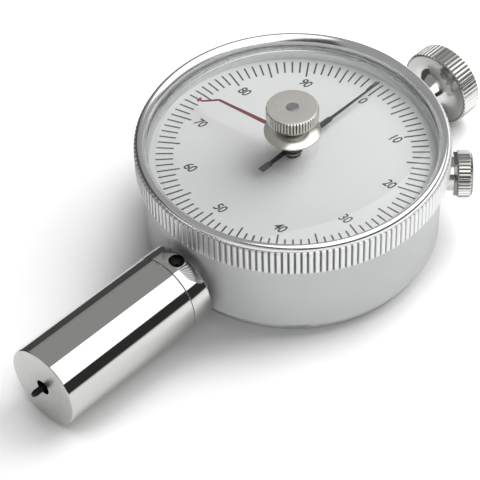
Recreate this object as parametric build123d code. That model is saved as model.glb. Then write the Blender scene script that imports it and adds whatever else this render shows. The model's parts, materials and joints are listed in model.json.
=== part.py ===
from build123d import *
import os
from math import acos, cos, degrees, pi, radians, sin, sqrt, tan

# Analogue durometer: a sprung indenter drives a dial pointer through a rack and a gear train.
# Millimetres. The origin is on the dial's axis in the plane that the back rests on.
# +Z runs from the back to the dial, +Y from the pressure foot to the top knob.
# Lengths along the foot are "reach": the distance from the dial's axis, towards -Y.

# ---- Clearances, all radial or axial gaps between neighbours ----
FIT = 0.02            # threaded, pressed or glued pieces that stay together
RUNNING = 0.03        # pivots in their plates, and the drag spindle in its bush
SLIDING = 0.03        # plunger rod in its bushes
SLEEVE_RUNNING = 0.08  # bezel sleeve in the case
STOP_GAP = 0.1        # faces that meet only when something is pushed home
EDGE = 0.3            # broken edges
SMALL_EDGE = 0.15
PAST = 1.0            # how far a cutter runs past what it cuts

# ---- Housing ----
CASE_RADIUS = 28.4
CASE_WALL = 2.4
CASE_HEIGHT = 15.6
RIM_WIDTH = 2.4       # rim inside the case's back edge, under the movement plate
RIM_HEIGHT = 2.6
COVER_THICKNESS = 2.6
COVER_INSET = 1.4     # the cover's edge lies inside the case's
COVER_FLOOR = 1.6
COVER_SPIGOT_HEIGHT = 1.2
COVER_SPIGOT_WALL = 1.05
COVER_SPIGOT_GAP = 0.15
COVER_SCREW_RADIUS = 0.9
COVER_SCREW_HEAD = 1.65
COVER_SCREW_LENGTH = 4.4
COVER_SCREW_SUNK = 0.06
COVER_SCREW_SLOT = 0.4
COVER_SCREW_ANGLES = (45, 135, 225, 315)

# ---- Foot, on the instrument's long axis ----
FOOT_RADIUS = 8.0
FOOT_CLEAR = 0.25     # from the foot to the surface that the back lies on
NECK_GAP = 1.7        # bare stem between the case and the collar
COLLAR_LENGTH = 4.75
COLLAR_CHAMFER = 0.6
SEAM = 0.1
BARREL_LENGTH = 30.65
FOOT_WALL = 3.2       # thickness of the end wall behind the foot's face
FOOT_HOLE_RADIUS = 1.5
STEM_RADIUS = 4.2
STEM_BORE = 3.2
STEM_END_GAP = 1.0
BOSS_DEPTH = 3.8      # length of the case's inner bosses
BOSS_WALL = 2.0
BOSS_ROOF = 0.5       # case left over the stem, under the bezel's sleeve
BUSH_LENGTH = 3.0
SET_SCREW_RADIUS = 1.5
SET_SCREW_OFFSET = 2.2
SET_SCREW_TURN = 7.0
SET_SCREW_SUNK = 1.6
SET_SCREW_SOCKET = 0.75  # across the corners of the hexagon, from its middle

# ---- Indenter and plunger ----
TRAVEL = 2.5          # how far the indenter stands out of the foot
INDENTER_RADIUS = 0.625
INDENTER_TIP_RADIUS = 0.395
INDENTER_CONE = 17.5  # half angle
INDENTER_SHANK = 3.3  # length held in the rod
ROD_RADIUS = 1.5
ROD_FLANGE_RADIUS = 3.0
ROD_FLANGE_LENGTH = 1.3
ROD_END_REACH = 5.0
SPRING_LENGTH = 16.8
SPRING_RADIUS = 2.35
SPRING_WIRE = 0.55
SPRING_TURNS = 7
SPRING_SIDES = 12     # straight lengths in each turn
ADJUSTER_LENGTH = 4.0
ADJUSTER_GAP = 0.15   # from the rod
ADJUSTER_SLOT = 0.8
GUIDE_PIN_RADIUS = 0.5
GUIDE_PIN_LENGTH = 3.3
GUIDE_PIN_BACK = 3.7  # from the stem's inner end to the pin
FORK_GAP = 0.4        # from the rod to the fork
FORK_WALL = 0.8
FORK_ROOF = 0.5       # fork above the rod
FORK_END = 1.0        # fork past the pin at each end of its travel
FORK_SLOT_END = 0.5
ROD_GUIDE_BACK = 0.6  # from the rod's end to its inner guide
ROD_GUIDE_WALL = 1.7
ROD_GUIDE_ROOF = 0.8

# ---- Gear train ----
PRESSURE_ANGLE = 20.0
RACK_PITCH = 1.0
RACK_TEETH = 8
RACK_LAND = 0.2       # depth of the flat along the tips of the rack's teeth
RACK_ADDENDUM = 0.8   # in modules, as is the next
RACK_DEDENDUM = 1.1
RACK_PINION_TEETH = 10
RACK_PINION_SHIFT = 0.45
RACK_PINION_HALF = 1.05  # half the length of its teeth
WHEEL_MODULE = 0.4
WHEEL_ADDENDUM = 1.0
WHEEL_DEDENDUM = 1.25
WHEEL_TEETH = 48
CENTRE_PINION_TEETH = 12
TAKE_UP_TEETH = 36
TRAIN_SHIFT = 0.3     # profile shift: plus on the pinion, minus on the wheels
BACKLASH = 0.05
TAKE_UP_BEARING = 45.0
WHEEL_THICKNESS = 0.8
WHEEL_LIFT = 1.45     # from the top of the rod to the drive wheel
WHEEL_SPACING = 0.6   # from the drive wheel to the take-up wheel
WHEEL_SPOKES = 4
SPOKE_HALF_ANGLE = 9.0
WHEEL_RIM = 3.5       # in modules, from the pitch circle in
DRIVE_HUB = 2.6
TAKE_UP_HUB = 2.2
WHEEL_BOSS_RADIUS = 1.4
WHEEL_BOSS_HEIGHT = 0.6
OPENING_POINTS = 6    # straight lengths round each opening's rim
PINION_FLANK = 3      # straight lengths in each flank of a tooth
WHEEL_FLANK = 2
ARBOR_RADIUS = 0.6
PIVOT_RADIUS = 0.4
POINTER_ARBOR_RADIUS = 0.8
PLATE_THICKNESS = 1.0
BRIDGE_MARGIN = 7.5   # from the case's bore
BRIDGE_WINDOW = 3.2
BRIDGE_WINDOW_PLACES = ((11.5, -2.0), (-9.2, -2.0))
BRIDGE_GAP = 1.2      # from the take-up wheel to the bridge
PILLAR_RADIUS = 1.6
PILLAR_SPIGOT = 0.96
PILLAR_INSET = 2.5    # from the bridge's edge
PILLAR_ANGLES = (104, 157, 321)
SMALL_SCREW_RADIUS = 0.8
SMALL_SCREW_HEAD = 1.3
SMALL_SCREW_HEAD_HEIGHT = 0.7
SMALL_SCREW_BITE = 2.4
SMALL_SCREW_SLOT = 0.4
SMALL_SCREW_SLOT_DEPTH = 0.35
PLATE_SCREW_ANGLES = (25, 155, 205, 335)
HAIRSPRING_TURNS = 4
HAIRSPRING_INNER = 1.3
HAIRSPRING_OUTER = 5.0
HAIRSPRING_STRIP = 0.12
HAIRSPRING_HEIGHT = 0.6
HAIRSPRING_SIDES = 20
HAIRSPRING_DROP = 0.7  # from the take-up wheel to the spring
COLLET_LIP = 0.2      # collet past the spring
HAIRSPRING_FOOT = 0.05  # from the collet to the spring's inner end
STUD_POST_RADIUS = 0.6

# ---- Bezel, dial and crystal ----
BEZEL_OVERHANG = 1.6  # bezel radius beyond the case's
BEZEL_RIBS = 160
BEZEL_RIB_DEPTH = 0.35
BEZEL_WALL = 1.6      # from the bezel's bore to the tops of its ribs
BEZEL_BAND = 5.6      # height of the ribbed band
BEZEL_LIP = 1.1       # rise of the lip above the band
LIP_CREST_INSET = 1.4
LIP_ROUND_OUT = 0.75  # the lip's rounding passes through this share of its width
LIP_ROUND_UP = 0.62   # and this share of its rise
LIP_EDGE_INSET = 2.34  # lip's inner edge from the outside, where it meets the crystal
BEZEL_GAP = 0.1
SLEEVE_LIFT = 0.2     # from the foot's inner boss to the sleeve
SLEEVE_WALL = 0.92
RETAINER_FLANGE = 1.1
DIAL_THICKNESS = 0.4
DIAL_HOLE_RADIUS = 1.6
SPACER_HEIGHT = 2.2
SPACER_WALL = 1.2
CRYSTAL_RIM = 1.0
CRYSTAL_RIM_WIDTH = 0.8
CRYSTAL_FIT = 0.1
CRYSTAL_RISE = 2.7
CRYSTAL_THICKNESS = 0.9
CRYSTAL_ROLL = 8.0    # width of the curved edge between the crystal's flat and its rim
SNAP_RING_HEIGHT = 0.6
SNAP_RING_DROP = 1.2  # below the case's front edge
SNAP_RING_WIDTH = 1.05
SNAP_RING_BITE = 0.6
SNAP_RING_OPENING = 5.0

# ---- Pointers and the drag knob ----
POINTER_END_GAP = 2.4  # from the spacer ring to the pointer's tip
POINTER_BAR_LENGTH = 10.5
POINTER_BAR_WIDTH = 1.2
POINTER_NEEDLE_WIDTH = 0.6
POINTER_TAIL_LENGTH = 8.7
POINTER_TAIL_PADDLE = 2.4
POINTER_TAIL_WIDTH = 0.8
POINTER_PADDLE_WIDTH = 1.3
POINTER_STEP = 0.35   # length over which its width changes
POINTER_EYE = 2.1
POINTER_THICKNESS = 0.25
POINTER_LIFT = 1.4    # from the dial to the main pointer
POINTER_HUB_RADIUS = 1.6
POINTER_HUB_LIFT = 0.4
POINTER_HUB_HEIGHT = 1.8
DRAG_READING = 72.8   # where the drag pointer stands
DRAG_END_GAP = 4.9
DRAG_CRANK = 17.2     # radius at which the drag pointer bends down
DRAG_PASSING = 0.3    # gap between the two pointers as they pass
DRAG_ARM_WIDTH = 0.95
DRAG_BEND_WIDTH = 0.65
DRAG_TIP_WIDTH = 0.4
DRAG_HOOK_WIDTH = 1.1
DRAG_HOOK_LENGTH = 0.7
DRAG_FLAT_TIP = 1.0   # length of the level tip past the crank
SPINDLE_RADIUS = 0.9
SPINDLE_HEAD_RADIUS = 1.2
SPINDLE_HEAD_HEIGHT = 0.7
SPINDLE_NOTCH = 0.5
SPINDLE_NOTCH_DEPTH = 0.36
DRAG_HUB_RADIUS = 1.5
DRAG_HUB_HEIGHT = 1.5
BUSH_HOLE = 2.2       # hole in the crystal
BUSH_FLANGE_RADIUS = 5.4
BUSH_HEIGHT = 2.2
BUSH_ROLL_RADIUS = 2.7
BUSH_ROLL_HEIGHT = 0.25
BUSH_COLLAR_RADIUS = 2.4
BUSH_COLLAR_HEIGHT = 0.5
BUSH_EDGE = 0.4
BUSH_DOME_OUT = 4.15  # radius and height of the flange's dome between its ends
BUSH_DOME_UP = 1.2
WASHER_THICKNESS = 0.2
WASHER_RADIUS = 2.3
DRAG_KNOB_RADIUS = 5.0
DRAG_KNOB_HEIGHT = 3.85
DRAG_KNOB_BAND = 2.7
DRAG_KNOB_TAPER = 0.55
DRAG_KNOB_RIBS = 52

# ---- Top knob ----
KNOB_RADIUS = 8.0
KNOB_WIDTH = 4.5
KNOB_NECK_RADIUS = 2.8
KNOB_NECK_LENGTH = 13.6
KNOB_DISH_RADIUS = 6.2
KNOB_DISH_DEPTH = 1.0
KNOB_DISH_SLOPE = 0.5
KNOB_FLARE_LENGTH = 3.3
KNOB_FLARE_OUT = 0.28  # the flare passes through these shares of its width and length
KNOB_FLARE_BACK = 0.3
KNOB_FOOT_RADIUS = 4.0
KNOB_FOOT_LENGTH = 1.6
KNOB_FOOT_SLOPE = 0.8
KNOB_RIBS = 56
KNOB_SEAT_GAP = 0.1
STUD_RADIUS = 2.0
STUD_HOLD = 6.0       # length of stud in the knob

# ---- Bezel clamp screw, on the case's side ----
CLAMP_BEARING = 42.7  # from +X towards +Y
CLAMP_DROP = 3.6      # below the case's front edge
CLAMP_THREAD_RADIUS = 2.0
CLAMP_PITCH = 0.7
CLAMP_TURN = 90.0
CLAMP_PAD_RADIUS = 1.6
CLAMP_PAD_LENGTH = 1.0
CLAMP_HEAD_RADIUS = 4.57
CLAMP_HEAD_LENGTH = 2.7
CLAMP_DOME = 0.6
CLAMP_DOME_EDGE = 0.6  # slope round the dome, in from the ribs
CLAMP_FACE_RADIUS = 2.57
CLAMP_SHOULDER_RADIUS = 4.2
CLAMP_SHOULDER_LENGTH = 0.6
CLAMP_NECK_RADIUS = 3.2
CLAMP_NECK_LENGTH = 1.4
CLAMP_HEAD_CLEAR = 0.6  # head's shoulder from the bezel's outside when loose
CLAMP_RIBS = 36

RIB_LAND = 0.5        # share of a rib's pitch that is left at full radius

# ---- Levels above the back, worked out from the sizes above ----
case_bore = CASE_RADIUS - CASE_WALL
case_bottom = COVER_THICKNESS
case_top = case_bottom + CASE_HEIGHT
rim_bore = case_bore - RIM_WIDTH
cover_radius = CASE_RADIUS - COVER_INSET
axis_height = FOOT_RADIUS + FOOT_CLEAR
boss_top = axis_height + STEM_RADIUS + BOSS_ROOF
clamp_height = case_top - CLAMP_DROP
plate_bottom = case_bottom + RIM_HEIGHT
plate_top = plate_bottom + PLATE_THICKNESS
drive_wheel_bottom = axis_height + ROD_RADIUS + WHEEL_LIFT
take_up_bottom = drive_wheel_bottom + WHEEL_THICKNESS + WHEEL_SPACING
bridge_bottom = take_up_bottom + WHEEL_THICKNESS + BRIDGE_GAP
bridge_top = bridge_bottom + PLATE_THICKNESS
hairspring_bottom = take_up_bottom - HAIRSPRING_DROP - HAIRSPRING_HEIGHT
bezel_radius = CASE_RADIUS + BEZEL_OVERHANG
bezel_bore = bezel_radius - BEZEL_WALL
bezel_bottom = case_top + BEZEL_GAP
bezel_band_top = bezel_bottom + BEZEL_BAND
lip_top = bezel_band_top + BEZEL_LIP
lip_edge = bezel_radius - LIP_EDGE_INSET
dial_bottom = bezel_bottom + RETAINER_FLANGE
dial_top = dial_bottom + DIAL_THICKNESS
crystal_bottom = dial_top + SPACER_HEIGHT
ledge = crystal_bottom + CRYSTAL_RIM
crystal_radius = bezel_bore - CRYSTAL_FIT
crown = ledge + CRYSTAL_RISE
crystal_under = crown - CRYSTAL_THICKNESS
dome_radius = crystal_radius - CRYSTAL_RIM_WIDTH
flat_radius = dome_radius - CRYSTAL_ROLL
spacer_bore = bezel_bore - SPACER_WALL
bush_seat = crown + FIT
bush_top = crown + BUSH_HEIGHT
bush_roll_top = crystal_under - FIT
bush_roll_bottom = bush_roll_top - BUSH_ROLL_HEIGHT
drag_arm_bottom = bush_roll_bottom - STOP_GAP - POINTER_THICKNESS
washer_bottom = bush_top + FIT
knob_bottom = washer_bottom + WASHER_THICKNESS + FIT
knob_top = knob_bottom + DRAG_KNOB_HEIGHT
spindle_top = knob_top + STOP_GAP
sleeve_radius = case_bore - SLEEVE_RUNNING
sleeve_bottom = boss_top + SLEEVE_LIFT
pointer_bottom = dial_top + POINTER_LIFT
pointer_top = pointer_bottom + POINTER_THICKNESS
pointer_length = spacer_bore - POINTER_END_GAP
drag_length = spacer_bore - DRAG_END_GAP
hub_bottom = dial_top + POINTER_HUB_LIFT
hub_top = hub_bottom + POINTER_HUB_HEIGHT

# ---- Reaches along the foot ----
collar_start = CASE_RADIUS + NECK_GAP
collar_end = collar_start + COLLAR_LENGTH
barrel_start = collar_end + SEAM
foot_face = barrel_start + BARREL_LENGTH
foot_wall = foot_face - FOOT_WALL
stem_end = foot_wall - STEM_END_GAP
stem_start = case_bore - BOSS_DEPTH
lower_bush_start = stem_end - BUSH_LENGTH
rod_end = stem_end + STEM_END_GAP / 2
flange_end = lower_bush_start - STOP_GAP
flange_start = flange_end - ROD_FLANGE_LENGTH
spring_end = flange_start - FIT
spring_start = spring_end - SPRING_LENGTH
guide_pin_reach = stem_start - GUIDE_PIN_BACK
knob_seat = CASE_RADIUS + KNOB_SEAT_GAP

# ---- Circles and places of the small screws and pillars ----
cover_screw_circle = (cover_radius + rim_bore) / 2
plate_screw_circle = case_bore - SMALL_SCREW_HEAD - STOP_GAP
bridge_radius = case_bore - BRIDGE_MARGIN
pillar_circle = bridge_radius - PILLAR_INSET

# ---- Clamp, in radii from the dial's axis, when it is loose ----
clamp_travel = CLAMP_PITCH * CLAMP_TURN / 360
pad_start = sleeve_radius + clamp_travel + FIT
clamp_shoulder = bezel_radius + CLAMP_HEAD_CLEAR

# ---- Gear centres ----
rack_module = RACK_PITCH / pi
rack_tip = ROD_RADIUS - RACK_LAND
rack_addendum = RACK_ADDENDUM * rack_module
rack_dedendum = RACK_DEDENDUM * rack_module
rack_pinion_radius = rack_module * RACK_PINION_TEETH / 2
rack_pinion_x = rack_addendum - rack_tip - rack_pinion_radius - RACK_PINION_SHIFT * rack_module
drive_centres = WHEEL_MODULE * (WHEEL_TEETH + CENTRE_PINION_TEETH) / 2
take_up_centres = WHEEL_MODULE * (TAKE_UP_TEETH + CENTRE_PINION_TEETH) / 2
rack_pinion_y = -sqrt(drive_centres ** 2 - rack_pinion_x ** 2)
take_up_x = take_up_centres * cos(radians(TAKE_UP_BEARING))
take_up_y = take_up_centres * sin(radians(TAKE_UP_BEARING))
drive_bearing = 180 + degrees(acos(-rack_pinion_x / drive_centres))  # from the dial's axis


# ---- Shapes used by many pieces ----
def turned(outline):
    """Solid of revolution about Z of a closed outline of (radius, height) points."""
    return revolve(make_face(Plane.XZ * Polyline(*outline, close=True)), Axis.Z)


def ring(outer, inner, bottom, top):
    return turned([(inner, bottom), (outer, bottom), (outer, top), (inner, top)])


def rod(radius, bottom, top):
    return turned([(0, bottom), (radius, bottom), (radius, top), (0, top)])


def block(x0, x1, y0, y1, z0, z1):
    return Pos((x0 + x1) / 2, (y0 + y1) / 2, (z0 + z1) / 2) * Box(x1 - x0, y1 - y0, z1 - z0)


def polar(radius, angle):
    return (radius * cos(radians(angle)), radius * sin(radians(angle)))


def prism(points, bottom, top):
    return Pos(0, 0, bottom) * extrude(make_face(Polyline(*points, close=True)), top - bottom)


def circle_of(part, radius, angles):
    return [Pos(*polar(radius, angle), 0) * part for angle in angles]


def towards_foot(part):
    """Lays a piece built about Z on the long axis, with its height as reach towards the foot."""
    return Pos(0, 0, axis_height) * Rot(90, 0, 0) * part


def towards_knob(part):
    return Pos(0, 0, axis_height) * Rot(-90, 0, 0) * part


def towards_clamp(part):
    return Pos(0, 0, clamp_height) * Rot(0, 0, CLAMP_BEARING) * Rot(0, 90, 0) * part


def ribbed(radius, ribs, depth, bottom, top):
    """Prism with straight ribs round it, to cut a turned piece's grip to shape."""
    pitch = 360 / ribs
    points = []
    for rib in range(ribs):
        middle = rib * pitch
        points.append(polar(radius, middle - RIB_LAND * pitch / 2))
        points.append(polar(radius, middle + RIB_LAND * pitch / 2))
        points.append(polar(radius - depth, middle + pitch / 2))
    return prism(points, bottom, top)


def involute(angle):
    return tan(angle) - angle


def gear(teeth, module, shift, heights, first_tooth, bottom, top, flank_points):
    """Involute spur gear about Z, with one tooth centred on the bearing first_tooth, in degrees.

    heights holds the addendum and the dedendum in modules.
    """
    addendum, dedendum = heights
    pressure = radians(PRESSURE_ANGLE)
    pitch_radius = module * teeth / 2
    base = pitch_radius * cos(pressure)
    root = pitch_radius + (shift - dedendum) * module
    tip = pitch_radius + (shift + addendum) * module
    half_at_pitch = (pi / 2 + 2 * shift * tan(pressure)) / teeth - BACKLASH / pitch_radius / 2
    flank_start = max(base, root)
    flank = [(root, half_at_pitch + involute(pressure))]
    for step in range(flank_points):
        radius = flank_start + (tip - flank_start) * (step + 1) / flank_points
        half = half_at_pitch + involute(pressure) - involute(acos(base / radius))
        flank.append((radius, half))
    points = []
    for tooth in range(teeth):
        middle = first_tooth + tooth * 360 / teeth
        points += [polar(radius, middle - degrees(half)) for radius, half in flank]
        points += [polar(radius, middle + degrees(half)) for radius, half in reversed(flank)]
    return prism(points, bottom, top)


def wheel_with_spokes(teeth, hub_radius, first_tooth, bottom, top):
    """Wheel of the fine train, with openings between its spokes and a hole for its arbor."""
    heights = (WHEEL_ADDENDUM, WHEEL_DEDENDUM)
    wheel = gear(teeth, WHEEL_MODULE, -TRAIN_SHIFT, heights, first_tooth, bottom, top, WHEEL_FLANK)
    rim_radius = WHEEL_MODULE * (teeth / 2 - WHEEL_RIM)
    span = 360 / WHEEL_SPOKES
    for opening in range(WHEEL_SPOKES):
        start = opening * span + SPOKE_HALF_ANGLE
        end = (opening + 1) * span - SPOKE_HALF_ANGLE
        step = (end - start) / OPENING_POINTS
        outline = [polar(rim_radius, start + step * point) for point in range(OPENING_POINTS + 1)]
        outline.append(polar(hub_radius, end - SPOKE_HALF_ANGLE))
        outline.append(polar(hub_radius, start + SPOKE_HALF_ANGLE))
        wheel -= prism(outline, bottom - PAST, top + PAST)
    return wheel


# ---- Housing ----
def boss(half_width, inner, outer):
    """Block inside the case's wall that carries what passes through it, along +Y."""
    return block(-half_width, half_width, inner, outer, case_bottom, boss_top)


def case_body():
    within_wall = (case_bore + CASE_RADIUS) / 2
    wall = turned([
        (case_bore, case_bottom), (CASE_RADIUS - EDGE, case_bottom), (CASE_RADIUS, case_bottom + EDGE),
        (CASE_RADIUS, case_top), (case_bore, case_top)])
    bosses = boss(STEM_RADIUS + BOSS_WALL, -CASE_RADIUS, -stem_start)
    bosses += boss(STUD_RADIUS + BOSS_WALL, knob_boss_start(), CASE_RADIUS)
    body = wall + ring(within_wall, rim_bore, case_bottom, plate_bottom)
    body += bosses & rod(within_wall, case_bottom, case_top)
    body -= rod(rim_bore, case_bottom - PAST, case_bottom + COVER_SPIGOT_HEIGHT + STOP_GAP)
    body -= towards_foot(rod(STEM_RADIUS + FIT, stem_start - PAST, CASE_RADIUS + PAST))
    body -= towards_knob(rod(STUD_RADIUS + FIT, knob_boss_start() - PAST, CASE_RADIUS + PAST))
    body -= towards_clamp(rod(CLAMP_THREAD_RADIUS + RUNNING, case_bore - PAST, CASE_RADIUS + PAST))
    groove_top = case_top - SNAP_RING_DROP + STOP_GAP / 2
    groove_bottom = groove_top - SNAP_RING_HEIGHT - STOP_GAP
    body -= ring(case_bore + SNAP_RING_BITE, case_bore - PAST, groove_bottom, groove_top)
    cover_hole = rod(COVER_SCREW_RADIUS + FIT, case_bottom - PAST, COVER_SCREW_LENGTH + STOP_GAP)
    body -= circle_of(cover_hole, cover_screw_circle, COVER_SCREW_ANGLES)
    screw_end = plate_top - SMALL_SCREW_BITE
    plate_hole = rod(SMALL_SCREW_RADIUS + FIT, screw_end - STOP_GAP, plate_bottom + PAST)
    return body - circle_of(plate_hole, plate_screw_circle, PLATE_SCREW_ANGLES)


def knob_boss_start():
    return stem_start - PAST


def back_cover():
    spigot = rim_bore - COVER_SPIGOT_GAP
    spigot_top = COVER_THICKNESS + COVER_SPIGOT_HEIGHT
    spigot_bore = spigot - COVER_SPIGOT_WALL
    cover = turned([
        (0, 0), (cover_radius - EDGE, 0), (cover_radius, EDGE), (cover_radius, COVER_THICKNESS),
        (spigot, COVER_THICKNESS), (spigot, spigot_top), (spigot_bore, spigot_top),
        (spigot_bore, COVER_FLOOR), (0, COVER_FLOOR)])
    sink = COVER_SCREW_SUNK + COVER_SCREW_HEAD - COVER_SCREW_RADIUS
    hole = turned([
        (0, -PAST), (COVER_SCREW_HEAD + FIT, -PAST), (COVER_SCREW_HEAD + FIT, COVER_SCREW_SUNK),
        (COVER_SCREW_RADIUS + FIT, sink), (COVER_SCREW_RADIUS + FIT, COVER_THICKNESS + PAST),
        (0, COVER_THICKNESS + PAST)])
    return cover - circle_of(hole, cover_screw_circle, COVER_SCREW_ANGLES)


def cover_screws():
    """Countersunk screws, slotted, with their heads just below the cover's back."""
    sink = COVER_SCREW_SUNK + COVER_SCREW_HEAD - COVER_SCREW_RADIUS
    screw = turned([
        (0, COVER_SCREW_SUNK), (COVER_SCREW_HEAD, COVER_SCREW_SUNK), (COVER_SCREW_RADIUS, sink),
        (COVER_SCREW_RADIUS, COVER_SCREW_LENGTH), (0, COVER_SCREW_LENGTH)])
    slot = COVER_SCREW_SLOT
    reach = COVER_SCREW_HEAD + PAST
    screw -= block(-reach, reach, -slot / 2, slot / 2, -PAST, COVER_SCREW_SUNK + slot)
    return circle_of(screw, cover_screw_circle, COVER_SCREW_ANGLES)


# ---- Foot ----
def stem_tube():
    return towards_foot(ring(STEM_RADIUS, STEM_BORE, stem_start, stem_end))


def foot_barrel():
    bore = STEM_RADIUS + FIT
    return towards_foot(turned([
        (bore, barrel_start), (FOOT_RADIUS - SMALL_EDGE, barrel_start),
        (FOOT_RADIUS, barrel_start + SMALL_EDGE), (FOOT_RADIUS, foot_face - EDGE),
        (FOOT_RADIUS - EDGE, foot_face), (FOOT_HOLE_RADIUS, foot_face), (FOOT_HOLE_RADIUS, foot_wall),
        (bore, foot_wall)]))


def set_screw_place(part):
    """Puts a piece built about Z into the collar's radial hole, with its height as radius."""
    reach = collar_start + SET_SCREW_OFFSET
    return Pos(0, -reach, axis_height) * Rot(0, SET_SCREW_TURN, 0) * part


def locking_collar():
    bore = STEM_RADIUS + FIT
    collar = towards_foot(turned([
        (bore, collar_start), (FOOT_RADIUS - COLLAR_CHAMFER, collar_start),
        (FOOT_RADIUS, collar_start + COLLAR_CHAMFER), (FOOT_RADIUS, collar_end - SMALL_EDGE),
        (FOOT_RADIUS - SMALL_EDGE, collar_end), (bore, collar_end)]))
    return collar - set_screw_place(rod(SET_SCREW_RADIUS, 0, FOOT_RADIUS + PAST))


def collar_set_screw():
    top = FOOT_RADIUS - SET_SCREW_SUNK
    corners = [polar(SET_SCREW_SOCKET, 60 * corner) for corner in range(6)]
    socket = prism(corners, top - SET_SCREW_RADIUS / 2, top + PAST)
    return set_screw_place(rod(SET_SCREW_RADIUS - FIT, STEM_RADIUS + FIT, top) - socket)


def lower_rod_bush():
    return towards_foot(ring(STEM_BORE - FIT, ROD_RADIUS + SLIDING, lower_bush_start, stem_end))


def upper_rod_bush():
    return towards_foot(ring(STEM_BORE - FIT, ROD_RADIUS + SLIDING, stem_start, stem_start + BUSH_LENGTH))


def spring_adjuster():
    """Threaded ring in the stem that sets the spring's preload, slotted for a key."""
    start = spring_start - ADJUSTER_LENGTH
    half = ADJUSTER_SLOT / 2
    adjuster = ring(STEM_BORE - FIT, ROD_RADIUS + ADJUSTER_GAP, start, spring_start - FIT)
    slot = block(-STEM_RADIUS, STEM_RADIUS, -half, half, start - PAST, start + ADJUSTER_SLOT)
    return towards_foot(adjuster - slot)


def calibrated_spring():
    pitch = (SPRING_LENGTH - SPRING_WIRE) / SPRING_TURNS
    points = []
    for step in range(SPRING_TURNS * SPRING_SIDES + 1):
        x, y = polar(SPRING_RADIUS, step * 360 / SPRING_SIDES)
        points.append((x, y, spring_start + SPRING_WIRE / 2 + pitch * step / SPRING_SIDES))
    path = Polyline(*points)
    section = Plane(origin=path @ 0, z_dir=path % 0) * Rectangle(SPRING_WIRE, SPRING_WIRE)
    return towards_foot(sweep(section, path, transition=Transition.RIGHT))


# ---- Plunger ----
def plunger_rod():
    shaft = towards_foot(turned([
        (0, ROD_END_REACH), (ROD_RADIUS - EDGE, ROD_END_REACH), (ROD_RADIUS, ROD_END_REACH + EDGE),
        (ROD_RADIUS, flange_start), (ROD_FLANGE_RADIUS, flange_start), (ROD_FLANGE_RADIUS, flange_end),
        (ROD_RADIUS, flange_end), (ROD_RADIUS, rod_end), (0, rod_end)]))
    socket_start = rod_end - INDENTER_SHANK - STOP_GAP
    shaft -= towards_foot(rod(INDENTER_RADIUS + FIT, socket_start, rod_end + PAST))
    shaft -= guide_pin_place(rod(GUIDE_PIN_RADIUS + FIT, 0, ROD_RADIUS + PAST))
    return shaft - rack_spaces()


def rack_spaces():
    """The gaps between the rack's teeth, cut into the rod's -X side, and the flat along their tips."""
    slope = tan(radians(PRESSURE_ANGLE))
    reference = rack_tip - rack_addendum
    root = reference - rack_dedendum
    outer = ROD_RADIUS + PAST
    half_gap = RACK_PITCH / 4 + BACKLASH / 2
    half_root = half_gap - rack_dedendum * slope
    half_outer = half_gap + (outer - reference) * slope
    first = rack_pinion_y - (RACK_TEETH / 2 + 0.5) * RACK_PITCH - TRAVEL / 2
    # a tooth, not a gap, stands beside the rack pinion's centre
    to_gap = (rack_pinion_y - first + RACK_PITCH / 2) % RACK_PITCH
    gaps = block(-outer, -rack_tip, first, first + RACK_TEETH * RACK_PITCH, 0, bridge_bottom)
    for space in range(RACK_TEETH + 1):
        y = first + to_gap + space * RACK_PITCH
        outline = [
            (-root, y - half_root), (-root, y + half_root), (-outer, y + half_outer),
            (-outer, y - half_outer)]
        gaps += prism(outline, 0, bridge_bottom)
    return gaps


def guide_pin_place(part):
    return Pos(0, -guide_pin_reach, axis_height) * Rot(0, 90, 0) * part


def guide_pin():
    return guide_pin_place(rod(GUIDE_PIN_RADIUS, STOP_GAP, GUIDE_PIN_LENGTH + STOP_GAP))


def indenter():
    """Hardened pin with a truncated cone, standing out of the foot by the full travel."""
    tip = foot_face + TRAVEL
    cone = (INDENTER_RADIUS - INDENTER_TIP_RADIUS) / tan(radians(INDENTER_CONE))
    return towards_foot(turned([
        (0, rod_end - INDENTER_SHANK), (INDENTER_RADIUS, rod_end - INDENTER_SHANK),
        (INDENTER_RADIUS, tip - cone), (INDENTER_TIP_RADIUS, tip), (0, tip)]))


# ---- Movement frame ----
def through(radius, bottom, top):
    """A round cutter that runs past both faces of a plate."""
    return rod(radius, bottom - PAST, top + PAST)


def movement_plate():
    plate = rod(case_bore - EDGE, plate_bottom, plate_top)
    low = plate_bottom - PAST
    high = plate_top + PAST
    half = STEM_RADIUS + BOSS_WALL + EDGE
    plate -= block(-half, half, -CASE_RADIUS, EDGE - stem_start, low, high)
    half = STUD_RADIUS + BOSS_WALL + EDGE
    plate -= block(-half, half, knob_boss_start() - EDGE, CASE_RADIUS, low, high)
    for place in arbor_places():
        plate -= Pos(*place, 0) * through(PIVOT_RADIUS + RUNNING, plate_bottom, plate_top)
    spigot_hole = through(PILLAR_SPIGOT + FIT, plate_bottom, plate_top)
    screw_hole = through(SMALL_SCREW_RADIUS + FIT, plate_bottom, plate_top)
    plate -= circle_of(spigot_hole, pillar_circle, PILLAR_ANGLES)
    return plate - circle_of(screw_hole, plate_screw_circle, PLATE_SCREW_ANGLES)


def arbor_places():
    return ((rack_pinion_x, rack_pinion_y), (0, 0), (take_up_x, take_up_y))


def pillars():
    pillar = turned([
        (0, plate_bottom), (PILLAR_SPIGOT, plate_bottom), (PILLAR_SPIGOT, plate_top),
        (PILLAR_RADIUS, plate_top), (PILLAR_RADIUS, bridge_bottom), (0, bridge_bottom)])
    pillar -= rod(SMALL_SCREW_RADIUS + FIT, bridge_bottom - SMALL_SCREW_BITE, bridge_bottom + PAST)
    return circle_of(pillar, pillar_circle, PILLAR_ANGLES)


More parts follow.
